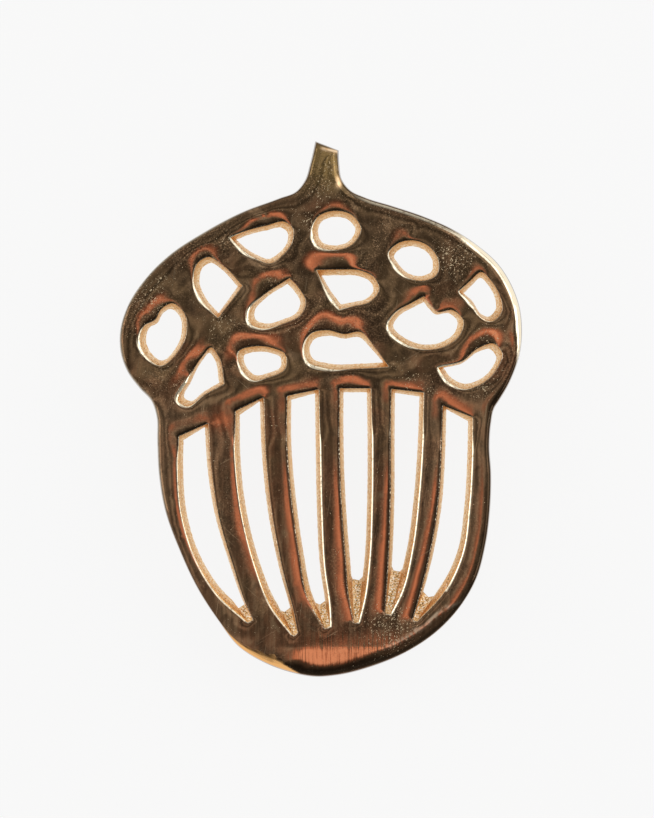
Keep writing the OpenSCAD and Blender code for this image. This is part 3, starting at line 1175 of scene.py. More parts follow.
@dataclass(frozen=True, kw_only=True)
class Edge:
    """One edge of the plate's face: the rim or the mouth of an opening.

    The face sinks towards it from some way off, so that the webs are convex, and once more close to it for
    the rolled lip. An opening has an axis, which is a point or a line that rises. Its pillow grows by the
    gains low on the nut and over the opening's crown, and one bell says how strongly a copper reflection is
    painted on the face beside it.
    """

    top: Array
    foot: Array
    depth: float
    reach: float
    lip_depth: float
    lip_reach: float
    into_metal: float = 1.0
    skin: Skin = Skin.CAST
    axis: Array | None = None
    roll: Bell | None = None
    counter_roll: Bell | None = None
    # How strongly a copper reflection is painted on the face beside this edge, by direction
    reflection_bell: Bell | None = None
    wear: Bell | None = None
    worn_width: float = 0.0
    wear_end: float = -math.inf
    depth_gain: float = 0.0
    reach_gain: float = 0.0
    crown_depth_gain: float = 0.0
    crown_reach_gain: float = 0.0
    low_nut: Zone = Zone(y=(-20, -65))
    crown_degrees: Band = (85, 30)

    def turns(self, points: Array) -> Array:
        """Direction of each point from the level place on the opening's axis, in degrees from +X.

        Args:
            points: Places on the plate.

        Returns:
            One direction a point.
        """
        x = np.interp(points[:, 1], self.axis[:, 1], self.axis[:, 0])
        y = np.clip(points[:, 1], self.axis[0, 1], self.axis[-1, 1])
        return np.degrees(np.arctan2(points[:, 1] - y, points[:, 0] - x))

    def pillow(self, points: Array) -> tuple[Array, Array]:
        """How deep the face sinks at this edge, and from how far off, at each point.

        Args:
            points: Places on the plate.

        Returns:
            Depths and reaches.
        """
        turns = self.turns(points)
        low = self.low_nut.at(points / MM)
        crown = smooth_step(*self.crown_degrees, np.abs(turns - 90.0))
        depth = self.depth * (1 + self.depth_gain * low + self.crown_depth_gain * crown)
        reach = self.reach * (1 + self.reach_gain * low + self.crown_reach_gain * crown)
        rolled = self.roll.at(turns) + (self.counter_roll.at(turns) if self.counter_roll else 0.0)
        return depth * rolled, reach

    def reflection_at(self, points: Array) -> Array:
        """How strongly the copper reflection is painted beside this edge at each point."""
        return self.reflection_bell.at(self.turns(points)) if self.reflection_bell else np.ones(len(points))

    def worn_reach(self, points: Array) -> Array:
        """How far the worn bevel reaches in from this edge at each point.

        Args:
            points: Places on the plate.

        Returns:
            One width a point.
        """
        if self.wear is None:
            return np.zeros(len(points))
        return self.worn_width * self.wear.at(self.turns(points)) * (points[:, 1] > self.wear_end)


@dataclass(frozen=True, kw_only=True)
class Rim(Edge):
    """The outer edge, which sinks less at the base of the nut and more along the right of the cap."""

    into_metal: float = -1.0
    skin: Skin = Skin.POLISHED
    base_depth: float = -0.4 * MM
    shoulder_depth: float = 0.9 * MM
    shoulder_reach: float = 0.3 * MM
    base: Zone = Zone(y=(-50, -80))
    shoulder: Zone = Zone(x=(38, 58), y=(14, 28))

    def pillow(self, points: Array) -> tuple[Array, Array]:
        """How deep the face sinks at the rim, and from how far off, at each point.

        Args:
            points: Places on the plate.

        Returns:
            Depths and reaches.
        """
        shoulder = self.shoulder.at(points / MM)
        depth = self.depth + self.base_depth * self.base.at(points / MM) + self.shoulder_depth * shoulder
        return depth, self.reach + self.shoulder_reach * shoulder


@dataclass
class AcornPlate:
    """The cast plate, with its openings, bosses and stud holes."""

    low: Vector
    high: Vector
    feet: list[tuple[float, float]]
    width: float = 135 * MM
    length: float = 180 * MM
    thickness: float = 5 * MM
    rim_draft: float = 0.5 * MM
    rim_chamfer: float = 0.4 * MM
    mouth_chamfer_share: float = 0.6
    wall_waves: tuple[Wave, Wave] = ((1.9, 0.7, 0), (-0.6, 2.3, 9))
    wall_unevenness: float = 0.10 * MM
    cap_wall_draft: float = 1.8 * MM
    slot_wall_draft: float = 1.3 * MM
    tip_roundness: float = 0.9
    cap_counter_roll: Bell = Bell(345, 52, 0.42)
    cap_wear: Bell = Bell(208, 42)
    slot_roll: Bell = Bell(135, 80, 1.37, least=0.10)
    slot_wear_spread: float = 45.0
    # How much wider, and by how many more degrees, the painted copper reflection spreads than the roll
    reflection_widening: float = 1.25
    reflection_margin: float = 8.0
    bevel_width: float = 3.4 * MM
    bevel_slope: float = 0.6
    bevel_least: float = 0.12
    bevel_ends: tuple[float, float] = (-33, -7)
    bevel_tapers: tuple[float, float] = (19, 9)
    bevel_zone: Zone = Zone(y=(-70, -77))
    crease_widths: tuple[float, float, float] = (5.2 * MM, 3.2 * MM, 4.3 * MM)
    crease_turns: tuple[Band, Band] = ((3, -11), (5, 24))
    crease_zone: Zone = Zone(x=(-17, -5, 50, 38), y=(-52, -60))
    crease_slope: float = 0.20
    crease_softness: float = 0.7 * MM
    facet_y: float = -79.9 * MM
    facet_slope: float = 0.11
    facet_zone: Zone = Zone(x=(-19, -5, 32, 18))
    stem_end_width: float = 1.8 * MM
    stem_end_slope: float = 0.4
    worn_slope: float = 0.42
    pillow_blend: float = 0.20
    slow_waves: tuple[Wave, Wave, Wave] = ((23, 4, 0.6), (-7, 19, 1.1), (11, -29, 0))
    slow_height: float = 0.10 * MM
    slow_nut_share: float = 0.35
    short_waves: tuple[Wave, Wave, Wave] = ((58, 9, 0.4), (-17, 63, 2), (41, 47, 0.9))
    short_height: float = 0.045 * MM
    short_shares: tuple[float, float, float] = (0.35, 1.45, -0.15)
    wave_cap: Band = (0.02, 0.09)
    wave_base: Band = (-0.31, -0.41)
    wave_tops: tuple[float, float] = (2, 3.6)
    spacing: float = 0.6 * MM
    rim_spacing_share: float = 1.2
    boss_radius: float = 5.5 * MM
    boss_round: float = 0.3 * MM
    hole_radius: float = 2.05 * MM
    hole_cover: float = 1.8 * MM
    raw_floor: Band = (0.45, 0.72)
    shaded_wall: Band = (-0.1, 0.75)
    far: float = 14 * MM
    edges: list[Edge] = field(default_factory=list)

    @property
    def top_z(self) -> float:
        """Height of the face's plane."""
        return self.high.z

    @property
    def underside_z(self) -> float:
        """Height of the underside."""
        return self.high.z - self.thickness

    @property
    def size(self) -> Array:
        """The plate's width and length."""
        return np.array([self.width, self.length])

    def trace(self) -> None:
        """Makes the rim and the mouths of all the openings."""
        outline = Curve.from_table(OUTLINE_POINTS, self.size)
        rim = outline.at(outline.places(self.spacing * self.rim_spacing_share))
        self.edges.append(Rim(
            top=rim - left_normals(rim) * self.rim_draft, foot=rim,
            depth=0.8 * MM, reach=4.5 * MM, lip_depth=0.55 * MM, lip_reach=0.6 * MM,
        ))
        for name, rows in CAP_OPENING_POINTS.items():
            curve = Curve.from_table(rows, self.size)
            mouth = curve.at(curve.places(self.spacing))
            towards, spread, depth, reach, painted_reflection = CAP_ROLLS[name]
            self.edges.append(Edge(
                top=mouth, foot=drawn_in(mouth, self.cap_wall_draft),
                depth=1.05 * MM, reach=6.5 * MM * reach, lip_depth=0.36 * MM, lip_reach=0.42 * MM,
                axis=(mouth.min(axis=0) + mouth.max(axis=0))[None] / 2,
                roll=Bell(towards, spread, depth, least=0.07), counter_roll=self.cap_counter_roll,
                reflection_bell=Bell(towards, spread * self.reflection_widening + self.reflection_margin, painted_reflection, least=0.1),
                wear=self.cap_wear, worn_width=1.1 * MM,
            ))
        for left, right, through, crown, worn_towards, wear_end in SLOTS.values():
            mouth, throat = self.slot_rings(left, right, through)
            self.edges.append(Edge(
                top=mouth, foot=throat,
                depth=0.52 * MM, reach=2.7 * MM, lip_depth=0.30 * MM, lip_reach=0.40 * MM,
                axis=(in_metres(left, self.size) + in_metres(right, self.size))[:0:-1] / 2,
                roll=self.slot_roll, wear=Bell(worn_towards, self.slot_wear_spread),
                worn_width=0.65 * MM, wear_end=wear_end,
                depth_gain=0.5, reach_gain=1.2, crown_depth_gain=crown, crown_reach_gain=1.9,
            ))

    def slot_rings(self, left: list, right: list, reach: float) -> tuple[Array, Array]:
        """The mouth and the throat of one slot.

        The mouth goes down the right edge, across the tip, up the left edge and across the top. The throat
        follows the same edges, moved in by the draft, but only down to the share reach of them, where it ends
        in half an ellipse, so that the slot's floor climbs from there to the tip.

        Args:
            left: Points of the left edge, top to tip.
            right: Points of the right edge, top to tip.
            reach: Share of the edges that is cut right through.

        Returns:
            Two rings of equally many points.
        """
        rows = [list(row) for row in right + left[::-1]]
        last = len(right) - 1
        around = len(rows)
        for number in (0, last, last + 1, around - 1):
            rows[number].append(1)
        curve = Curve.from_table(rows, self.size)
        places = curve.places(self.spacing)
        marks = [0, last, last + 1, around - 1, around]
        moved = np.interp(places, marks, [0, last * reach, around - 1 - last * reach, around - 1, around])
        shift_x = np.interp(places, marks, [-1, -1, 1, 1, -1])
        shift_y = np.interp(places, marks, [-1, 1, 1, -1, -1])
        throat = curve.at(moved) + np.column_stack([shift_x, shift_y]) * self.slot_wall_draft
        tips = curve.at(np.array([last * reach, around - 1 - last * reach]))
        tips += np.array([[-1.0, 1.0], [1.0, 1.0]]) * self.slot_wall_draft
        half = (tips[0] - tips[1]) / 2
        turn = np.pi * np.clip(places - last, 0.0, 1.0)[:, None]
        down = np.array([half[1], -half[0]]) * self.tip_roundness
        rounded = tips.mean(axis=0) + half * np.cos(turn) + down * np.sin(turn)
        across = ((places > last) & (places < last + 1))[:, None]
        return curve.at(places), np.where(across, rounded, throat)

    def distances(self, points: Array) -> Array:
        """Distances from points to every edge, points by edges."""
        return np.column_stack([distance_to_ring(points, edge.top, self.far) for edge in self.edges])

    def waves(self, points: Array) -> Array:
        """Height of the slow and the short waves of hand polishing, which lie below the face's plane.

        Each is the product of two sines plus a third. They are livelier on the cap than on the nut.

        Args:
            points: Places on the plate.

        Returns:
            One height a point, never above 0.
        """
        shares = points / self.size
        sines = [np.sin(shares @ wave[:2] + wave[2]) for wave in self.slow_waves + self.short_waves]
        slow, short = sines[0] * sines[1] + sines[2], sines[3] * sines[4] + sines[5]
        cap = smooth_step(*self.wave_cap, shares[:, 1])
        nut_share, cap_gain, base_gain = self.short_shares
        calm = nut_share + cap_gain * cap + base_gain * smooth_step(*self.wave_base, shares[:, 1])
        swell = self.slow_height * (self.slow_nut_share + (1 - self.slow_nut_share) * cap)
        slow_top, short_top = self.wave_tops
        return swell * (slow - slow_top) / 2 + self.short_height * (short * calm - short_top) / 2

    def face_z(self, points: Array, distances: Array) -> Array:
        """Height of the polished face: its plane, less a pillow, the lips and the bevels, with slight waves.

        Each distance counts as a share of its edge's reach. The shares are blended into one by a soft least
        value, and the pillow is the depth times the square of what that share leaves of one, so its slope
        grows evenly towards the edge. A lip is an exponential of the distance. The worn bevels, the bevel at
        the lower left of the rim, the facet at its bottom and the end of the stem each fall in a straight
        line, and so does the creased band after a short curve.

        Args:
            points: Places on the plate.
            distances: Their distances to the edges.

        Returns:
            One height a point.
        """
        tiny = 1e-12
        to_rim = distances[:, 0]
        pillows = [edge.pillow(points) for edge in self.edges]
        depths = np.column_stack([depth for depth, _ in pillows])
        reaches = np.column_stack([reach for _, reach in pillows])
        weights = np.exp(-distances / reaches / self.pillow_blend)
        total = weights.sum(axis=1) + tiny
        share = np.clip(-self.pillow_blend * np.log(total), 0.0, 1.0)
        sunk = (weights * depths).sum(axis=1) / total * (1 - share) ** 2
        for edge, distance in zip(self.edges, distances.T):
            sunk = sunk + edge.lip_depth * np.exp(-distance / edge.lip_reach)
            sunk = sunk + np.maximum(0.0, edge.worn_reach(points) - distance) * self.worn_slope
        sunk = sunk + np.maximum(0.0, self.bevel_reach(points) - to_rim) * self.bevel_slope
        folded = np.maximum(0.0, self.crease_reach(points) - to_rim)
        sunk = sunk + folded**2 / (folded + self.crease_softness) * self.crease_slope
        sunk = sunk + self.facet_fall(points) * self.facet_slope
        sunk = sunk + np.maximum(0.0, self.stem_end_width - self.to_stem_end(points)) * self.stem_end_slope
        return self.top_z - sunk + self.waves(points)

    def to_stem_end(self, points: Array) -> Array:
        """Distance of each point from the stem's straight end, which the outline's first two points give.

        Args:
            points: Places on the plate.

        Returns:
            One distance a point.
        """
        first, second = in_metres(OUTLINE_POINTS[:2], self.size)
        along = (second - first) / np.linalg.norm(second - first)
        return (points - first) @ [along[1], -along[0]]

    def bevel_reach(self, points: Array) -> Array:
        """How far the lower left bevel reaches in from the rim: it widens to the right and tapers off.

        Args:
            points: Places on the plate.

        Returns:
            One width a point.
        """
        x = points[:, 0] / MM
        (left, right), (widening, taper) = self.bevel_ends, self.bevel_tapers
        share = np.clip((x - left) / widening, self.bevel_least, 1.0) * np.clip((right - x) / taper, 0.0, 1.0)
        return self.bevel_width * share * self.bevel_zone.at(points / MM)

    def crease_reach(self, points: Array) -> Array:
        """How far the creased band at the bottom reaches in from the rim: it is narrowest in the middle.

        Args:
            points: Places on the plate.

        Returns:
            One width a point.
        """
        x = points[:, 0] / MM
        left, middle, right = self.crease_widths
        to_left, to_right = (smooth_step(*turn, x) for turn in self.crease_turns)
        reach = middle + (left - middle) * to_left + (right - middle) * to_right
        return reach * self.crease_zone.at(points / MM)

    def facet_fall(self, points: Array) -> Array:
        """How far below a level line the buffed facet at the base reaches: it fades out to both sides."""
        return np.maximum(0.0, self.facet_y - points[:, 1]) * self.facet_zone.at(points / MM)

    def face_points(self) -> tuple[Array, Array]:
        """Points on the face between its edges.

        Rows of points follow each edge at growing distances, as long as that edge is the nearest one, and a
        lattice fills what is left.

        Returns:
            An array of x and y, and their distances to the edges.
        """
        rows = np.array([0.16, 0.36, 0.62, 0.96, 1.4, 2.0, 2.8]) * MM
        fold_share = 0.9
        neighbour_gap = 0.3 * MM
        step, clear_share = 0.95 * MM, 0.55
        offered, owner, wanted = [], [], []
        for number, edge in enumerate(self.edges):
            normals = left_normals(edge.top) * edge.into_metal
            grid = edge.top[None] + rows[:, None, None] * normals[None]
            offered.append(grid.reshape(-1, 2))
            owner.append(np.full(grid.shape[0] * grid.shape[1], number))
            wanted.append(np.repeat(rows, len(edge.top)))
        points, owner, wanted = np.vstack(offered), np.concatenate(owner), np.concatenate(wanted)
        distances = self.distances(points)
        own = distances[np.arange(len(points)), owner]
        others = distances.copy()
        others[np.arange(len(points)), owner] = self.far
        kept = (own > fold_share * wanted) & (others.min(axis=1) > own + neighbour_gap)
        bed = lattice(self.edges[0].foot.min(axis=0), self.edges[0].foot.max(axis=0), step)
        bed = bed[in_metal(bed, [edge.top for edge in self.edges])]
        bed_distances = self.distances(bed)
        clear = bed_distances.min(axis=1) > rows[-1] + step * clear_share
        return np.vstack([points[kept], bed[clear]]), np.vstack([distances[kept], bed_distances[clear]])

    def add_face(self, builder: MeshBuilder, tops: list[Array]) -> Array:
        """Fills the polished face between the top rings.

        Args:
            builder: The mesh to add to.
            tops: Numbers of the top rings' points.

        Returns:
            The numbers of all the face's points.
        """
        inner, distances = self.face_points()
        heights = self.face_z(inner, distances)
        numbers = np.concatenate(tops + [builder.add_points(np.column_stack([inner, heights]))])
        faces = filled([edge.top for edge in self.edges], inner)
        builder.add_faces(numbers[faces], Skin.POLISHED)
        LOG.info("polished face: %d points, %d triangles", len(numbers), len(faces))
        return numbers

    def add_walls(self, builder: MeshBuilder) -> tuple[list[Array], list[Array]]:
        """Adds the walls of the rim and the openings.

        Each wall is a straight line from the foot of the edge to its top, carried round the edge, with a
        small chamfer at its foot. The cast walls are a little uneven.

        Args:
            builder: The mesh to add to.

        Returns:
            The numbers of the top rings' points and of the foot rings' points.
        """
        shares = np.array([0.0, 0.06, 0.2, 0.36, 0.52, 0.68, 0.84, 1.0])
        tops, feet = [], []
        for edge in self.edges:
            heights = self.face_z(edge.top, self.distances(edge.top))
            normals = left_normals(edge.foot) * edge.into_metal
            rise = shares[:, None, None]
            flat = edge.foot[None] + (edge.top - edge.foot)[None] * rise
            z = self.underside_z + (heights - self.underside_z)[None] * shares[:, None]
            chamfer_share = 1.0 if edge.skin is Skin.POLISHED else self.mouth_chamfer_share
            flat[0] += normals * self.rim_chamfer * chamfer_share
            if edge.skin is Skin.CAST:
                up = rise[..., 0]
                first, second = (np.sin(flat / MM @ wave[:2] + wave[2] * up) for wave in self.wall_waves)
                bump = first * second * np.sqrt(np.sin(np.pi * up))
                flat += bump[..., None] * normals[None] * self.wall_unevenness
            rings = np.concatenate([flat, z[..., None]], axis=2)
            numbers = builder.add_strip(rings, edge.skin, flipped=edge.into_metal < 0)
            tops.append(numbers[-1])
            feet.append(numbers[0])
        return tops, feet

    def add_bosses(self, builder: MeshBuilder) -> tuple[list[Array], list[Array]]:
        """Adds the four bosses with their stud holes.

        Each is a profile of radius and height turned about the foot's axis: a small round at the underside,
        the boss, its face, and the blind hole up to its end.

        Args:
            builder: The mesh to add to.

        Returns:
            The numbers and the places of the rings at the underside.
        """
        sides = 72
        chamfer = 0.35 * MM
        end_radius, end_height = 0.5, 0.25
        face_z = self.low.z
        hole_z = self.top_z - self.hole_cover
        profile = np.array([
            [self.boss_radius + self.boss_round, self.underside_z],
            [self.boss_radius + self.boss_round * CORNER, self.underside_z - self.boss_round * CORNER],
            [self.boss_radius, self.underside_z - self.boss_round],
            [self.boss_radius, face_z + chamfer],
            [self.boss_radius - chamfer * CORNER, face_z + chamfer * CORNER],
            [self.boss_radius - chamfer, face_z],
            [self.hole_radius + chamfer, face_z],
            [self.hole_radius, face_z + chamfer],
            [self.hole_radius, hole_z],
            [self.hole_radius * end_radius, hole_z + self.hole_radius * end_height],
        ])
        numbers, places = [], []
        for foot in self.feet:
            rings = turned(profile, foot, sides, way=-1)
            made = builder.add_strip(rings, Skin.CAST)
            builder.add_faces(made[-1][None], Skin.CAST)
            numbers.append(made[0])
            places.append(rings[0, :, :2])
        return numbers, places

    def add_underside(self, builder: MeshBuilder, feet: list[Array], bosses: list[Array],
                      boss_rings: list[Array]) -> None:
        """Fills the underside between the walls and the bosses.

        Args:
            builder: The mesh to add to.
            feet: Numbers of the walls' lowest points.
            bosses: Numbers of the bosses' highest points.
            boss_rings: Places of those points.
        """
        step = 2.4 * MM
        clear = 1.0 * MM
        points = np.vstack(builder.points)
        rings = [points[ring, :2] for ring in feet] + boss_rings
        bed = lattice(rings[0].min(axis=0), rings[0].max(axis=0), step)
        bed = bed[in_metal(bed, rings)]
        for ring in rings:
            bed = bed[distance_to_ring(bed, ring, self.far) > clear]
        flat = np.full((len(bed), 1), self.underside_z)
        numbers = np.concatenate(feet + bosses + [builder.add_points(np.hstack([bed, flat]))])
        builder.add_faces(numbers[filled(rings, bed)][:, ::-1], Skin.CAST)

    def build(self) -> Object:
        """Builds the plate's mesh.

        Returns:
            The plate, with its tints painted on.
        """
        sharp_degrees = 42.0
        self.trace()
        builder = MeshBuilder()
        tops, feet = self.add_walls(builder)
        bosses, boss_rings = self.add_bosses(builder)
        self.add_underside(builder, feet, bosses, boss_rings)
        face = self.add_face(builder, tops)
        piece = builder.make("cast_acorn_plate", sharp_degrees)
        self.tint(piece.data, face)
        return piece

    def tint(self, mesh: Mesh, face: Array) -> None:
        """Paints the polished face's tints, mostly painted reflections, shade and highlights, and where the
        other walls are raw, shaded or underneath.

        Args:
            mesh: The plate's mesh.
            face: Numbers of the points on its polished face.
        """
        hair = 0.01 * MM
        places, outward = read(mesh.vertices, "co"), read(mesh.vertex_normals, "vector")
        for name, values in FaceTints(self, places[face, :2], outward[face]).by_name().items():
            everywhere = np.zeros(len(places))
            everywhere[face] = values
            paint(mesh, name, everywhere)
        raw = smooth_step(*self.raw_floor, outward[:, 2])
        raw[face] = 0.0
        paint(mesh, "raw", raw)
        paint(mesh, "shaded", smooth_step(*self.shaded_wall, outward[:, :2] @ SHADED_SIDE))
        paint(mesh, "under", np.where(places[:, 2] < self.underside_z + hair, 1.0, 0.0))

    def dress(self, piece: Object, polished: Material, cast: Material) -> None:
        """Puts the finishes on the plate and sets it in the frame.

        Args:
            piece: The plate.
            polished: Finish of its face and rim.
            cast: Finish of its other walls and underside.
        """
        piece.data.materials.append(polished)
        piece.data.materials.append(cast)
        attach(piece, BODY)
        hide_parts("acorn_plate")


@dataclass
class FaceTints:
    """The tints of the polished face, mostly painted reflections, shade and highlights, worked out at each of
    its points in millimetres and degrees.

    The lean is the slope of the face towards the dark side of the studio. The painted copper reflection is a
    hump about one lean, which drifts a little from place to place, and the painted dark reflection is where
    the face leans more.
    """

    plate: AcornPlate
    flat: Array
    normals: Array
    stem_zone: Zone = Zone(y=(69, 82))
    nut_zone: Zone = Zone(y=(12, 4))
    drift_degrees: float = 1.8
    drift_waves: tuple[Wave, Wave] = ((0.31, 0.13, 0), (-0.11, 0.23, 0.7))
    drift_nut_share: float = 0.25
    drift_cap: Band = (2, 12)
    # The painted copper reflection: its lean, and how strong it is where
    peak_lean: float = 5.4
    lean_spread: float = 3.0
    beside_spread_gain: float = 0.15
    near_opening: Band = (9, 4)
    beside_slot: Band = (0.9, 0.5)
    copper_reflection: float = 0.9
    beside_loss: float = 0.18
    upper_bar_loss: float = 0.72
    upper_bars: Band = (-28, -12)
    first_bar: Band = (-10, -24)
    first_bar_rise: float = 14.0
    hook: Band = (-9, -3)
    hook_share: float = 0.8
    arches: Band = (-20, -10)
    arch_loss: float = 0.22
    calm_arches: tuple[Spot, ...] = (Spot(-45, -4, 6.5, 0.42), Spot(-4.5, 7.5, 5, 0.22))
    off_rim: Band = (1.6, 3.4)
    nut_base: Band = (-45, -60)
    dim_left: Zone = Zone(x=(-8, -20), y=(-50, -64), amount=0.9)
    facet: Zone = Zone(x=(-15, -3, 34, 22), y=(-76, -80), amount=1.55)
    base_left: Band = (2, -18)
    base_edge: Band = (-72, -76)
    base_glow: Zone = Zone(x=(-18, 2, 40, 25), y=(-70, -79), rim=(3, 5), amount=0.42)
    bar_glow: Spot = Spot(-33.5, -3.5, 4.5, 0.64)
    # The painted dark reflection and shade: the lean from which it starts, and painted dark lines
    dark_lean: float = 17.0
    nut_dark_drop: float = 6.0
    dark_band: float = 7.0
    lit_lean: Band = (38, 48)
    late_dark: Zone = Zone(x=(12, 24), y=(-48, -56), rim=(5.5, 4.5), amount=7)
    stem_end: Band = (1.7, 1.2)
    left_flank: Zone = Zone(x=(2, -1), rim=(1.1, 0.3))
    flank: Zone = Zone(rim=(1.2, 0.4))
    rim_line: Band = (0.55, 0.25)
    inside_bevel: Zone = Zone(x=(-27, -18, -2, -8), y=(-70, -76))
    dark_shares: tuple[float, ...] = (1, 0.6, 0.51, 0.595, 0.7, 0.75)
    # The painted highlights: lips that face the lit side, bevels, the shoulder, thin lines and the stem's
    # crest and fillet
    at_mouth: Band = (0.9, 1.8)
    lip_steep: Band = (31, 44)
    lip_lit: Band = (0, 0.6)
    worn_edge: Band = (-0.15, 0.2)
    left_steep: Band = (34, 46)
    left_side: Zone = Zone(x=(-10, -40), y=(-50, -20))
    shoulder_lean: Band = (21, 26)
    shoulder: Zone = Zone(x=(41, 56), y=(12, 24))
    cap_line: Zone = Zone(x=(8, 18), y=(40, 52))
    ridge: Zone = Zone(x=(18, 24, 49, 42), y=(-50, -58))
    bevel_edge: Band = (-0.1, 0.3)
    bright_shares: tuple[float, ...] = (0.5, 2, 1, 0.25, 0.32, 0.6, 0.45)
    crumbly_steep: Band = (24, 36)
    crumbly_shares: tuple[float, float] = (0.3, 0.4)
    # The stem's yellow tone, with a painted sheen on its right side
    right_sheen: Band = (-3, 3)
    stem_yellow_share: float = 0.75
    pits: tuple[Spot, ...] = (
        Spot(45, 50, 8, 1.3), Spot(23, -73, 10, 1.4), Spot(0, 73, 7, 1), Spot(-58, 38, 11, 1.2),
        Spot(56, 24, 7, 1), Spot(-44, 8, 8, 1), Spot(-34, 27, 8, 0.9), Spot(30, 9, 6, 0.9),
        Spot(-17, 42, 5, 0.9), Spot(2, 82, 8, 0.8), Spot(-31, 56, 6, 0.9), Spot(-54, 12, 6, 0.8),
        Spot(-6, 64, 5, 0.9), Spot(26, 14, 5, 0.9), Spot(54, 6, 5, 0.8),
    )

    def __post_init__(self) -> None:
        """Measures what the tints depend on."""
        least_rise, least_level = 0.05, 1e-6
        self.places = self.flat / MM
        self.x, self.y = self.places.T
        self.gaps = self.plate.distances(self.flat).T / MM
        self.to_rim = self.gaps[0]
        self.to_end = self.plate.to_stem_end(self.flat) / MM
        slope = (self.normals[:, :2] @ TOWARDS_DARK) / np.maximum(self.normals[:, 2], least_rise)
        self.lean = np.degrees(np.arctan(slope))
        self.steep = np.degrees(np.arccos(np.clip(self.normals[:, 2], -1.0, 1.0)))
        level = np.maximum(np.linalg.norm(self.normals[:, :2], axis=1), least_level)
        self.heading = self.normals[:, :2] / level[:, None]
        self.stem = self.stem_zone.at(self.places)
        self.nut = self.nut_zone.at(self.places)
        first, second = (np.sin(self.places @ wave[:2] + wave[2]) for wave in self.drift_waves)
        lively = self.drift_nut_share + (1 - self.drift_nut_share) * smooth_step(*self.drift_cap, self.y)
        self.drift = self.drift_degrees * first * second * lively

    def crest(self) -> Array:
        """A painted highlight line near the end of the stem, along it."""
        place, slant, width, right_part = 2.0, 0.2, 0.42, (-0.6, 0.8)
        return hump(self.to_end + slant * self.x, place, width) * smooth_step(*right_part, self.x)

    def fillet(self) -> Array:
        """A painted highlight in the hollow on the right where the stem meets the cap."""
        (x, wide), (y, high) = (5.9, 0.8), (75.8, 1.7)
        return hump(self.x, x, wide) * hump(self.y, y, high)

    def in_bevel(self) -> Array:
        """How far inside the lower left bevel each point lies."""
        return self.plate.bevel_reach(self.flat) / MM - self.to_rim

    def readiness(self) -> Array:
        """How strongly the copper reflection is painted at each point: fully on the nut, and on the cap as
        the openings near it say.

        Returns:
            One value a point.
        """
        openings = zip(self.plate.edges[1:], self.gaps[1:])
        near = [edge.reflection_at(self.flat) * smooth_step(*self.near_opening, gap) for edge, gap in openings]
        return np.maximum.reduce([self.nut, *near])

    def painted_reflection(self) -> Array:
        """The painted copper reflection: a hump about one lean.

        It is weaker beside the upper bars, apart from a hook round each slot's upper left corner, over two of
        the slots, along the rim and at the lower left, and strong on the facet. The base and the top of the
        first bar have it painted whatever their lean.

        Returns:
            One value a point.
        """
        beside = self.nut * smooth_step(*self.beside_slot, -self.heading[:, 1])
        rise = self.first_bar_rise * smooth_step(*self.first_bar, self.x)
        corners = in_metres([left[0] for left, *_ in SLOTS.values()], self.plate.size) / MM
        hook = self.hook_share * smooth_step(*self.hook, self.y - np.interp(self.x, *corners.T))
        upper = self.upper_bar_loss * smooth_step(*self.upper_bars, self.y - rise) * (1 - hook)
        strength = self.copper_reflection - beside * (self.beside_loss + upper)
        strength -= self.arch_loss * smooth_step(*self.arches, self.y) * self.nut
        for spot in self.calm_arches:
            strength -= spot.at(self.places)
        strength *= np.maximum(smooth_step(*self.off_rim, self.to_rim), smooth_step(*self.nut_base, self.y))
        strength += self.facet.at(self.places) - self.dim_left.at(self.places)
        strength *= 1 - smooth_step(*self.base_edge, self.y) * smooth_step(*self.base_left, self.x)
        spread = self.lean_spread * (1 + self.beside_spread_gain * beside)
        leaning = hump(self.lean, self.peak_lean + self.drift, spread)
        copper_reflection = leaning * strength * self.readiness() * (1 - self.stem)
        # Copper reflection painted at the base and on the first bar whatever their lean
        glow = self.base_glow.at(self.places, self.to_rim)
        return np.maximum.reduce([copper_reflection, glow, self.bar_glow.at(self.places)])

    def tarnish(self) -> Array:
        """The painted dark reflection and shade: where the face leans far, at the stem's end and flanks, and
        in lines along the rim.

        Returns:
            One value a point.
        """
        inner_line, line_width = -1.0, 1.3
        start = self.dark_lean + self.drift - (self.nut_dark_drop + self.drift) * self.nut
        start += self.late_dark.at(self.places, self.to_rim)
        leaning = smooth_step(0.0, 1.0, (self.lean - start) / self.dark_band)
        parts = (
            leaning * (1 - smooth_step(*self.lit_lean, self.lean)) * (1 - self.stem),
            smooth_step(*self.stem_end, self.to_end),
            self.stem * self.left_flank.at(self.places, self.to_rim),
            self.stem * self.flank.at(self.places, self.to_rim) * (1 - self.fillet()),
            smooth_step(*self.rim_line, self.to_rim),
            hump(self.in_bevel(), inner_line, line_width) * self.inside_bevel.at(self.places),
        )
        return np.maximum.reduce([share * part for share, part in zip(self.dark_shares, parts)])

    def painted_highlight(self) -> Array:
        """The painted highlights: lips that face the light, the right shoulder, thin lines, the stem's crest
        and fillet, and the bevels.

        Returns:
            One value a point.
        """
        (cap_line, cap_line_width), ridge_width = (0.75, 0.25), 0.3
        lit = smooth_step(*self.lip_lit, self.heading @ LIT_SIDE)
        lip = smooth_step(*self.lip_steep, self.steep) * lit * smooth_step(*self.at_mouth, self.to_rim)
        to_right = np.degrees(np.arcsin(self.normals[:, :2] @ SHOULDER_SIDE))
        in_crease = self.plate.crease_reach(self.flat) / MM - self.to_rim
        parts = (
            lip,
            smooth_step(*self.shoulder_lean, to_right) * self.shoulder.at(self.places),
            hump(self.to_rim, cap_line, cap_line_width) * self.cap_line.at(self.places),
            smooth_step(*self.left_steep, self.steep) * self.left_side.at(self.places),
            hump(in_crease, 0.0, ridge_width) * self.ridge.at(self.places),
            self.crest(),
            self.fillet(),
        )
        openings = zip(self.plate.edges[1:], self.gaps[1:])
        # Painted highlights along the bevels beside the openings
        worn = [smooth_step(*self.worn_edge, edge.worn_reach(self.flat) / MM - gap) for edge, gap in openings]
        return np.maximum.reduce([share * part for share, part in zip(self.bright_shares, parts)] + worn)

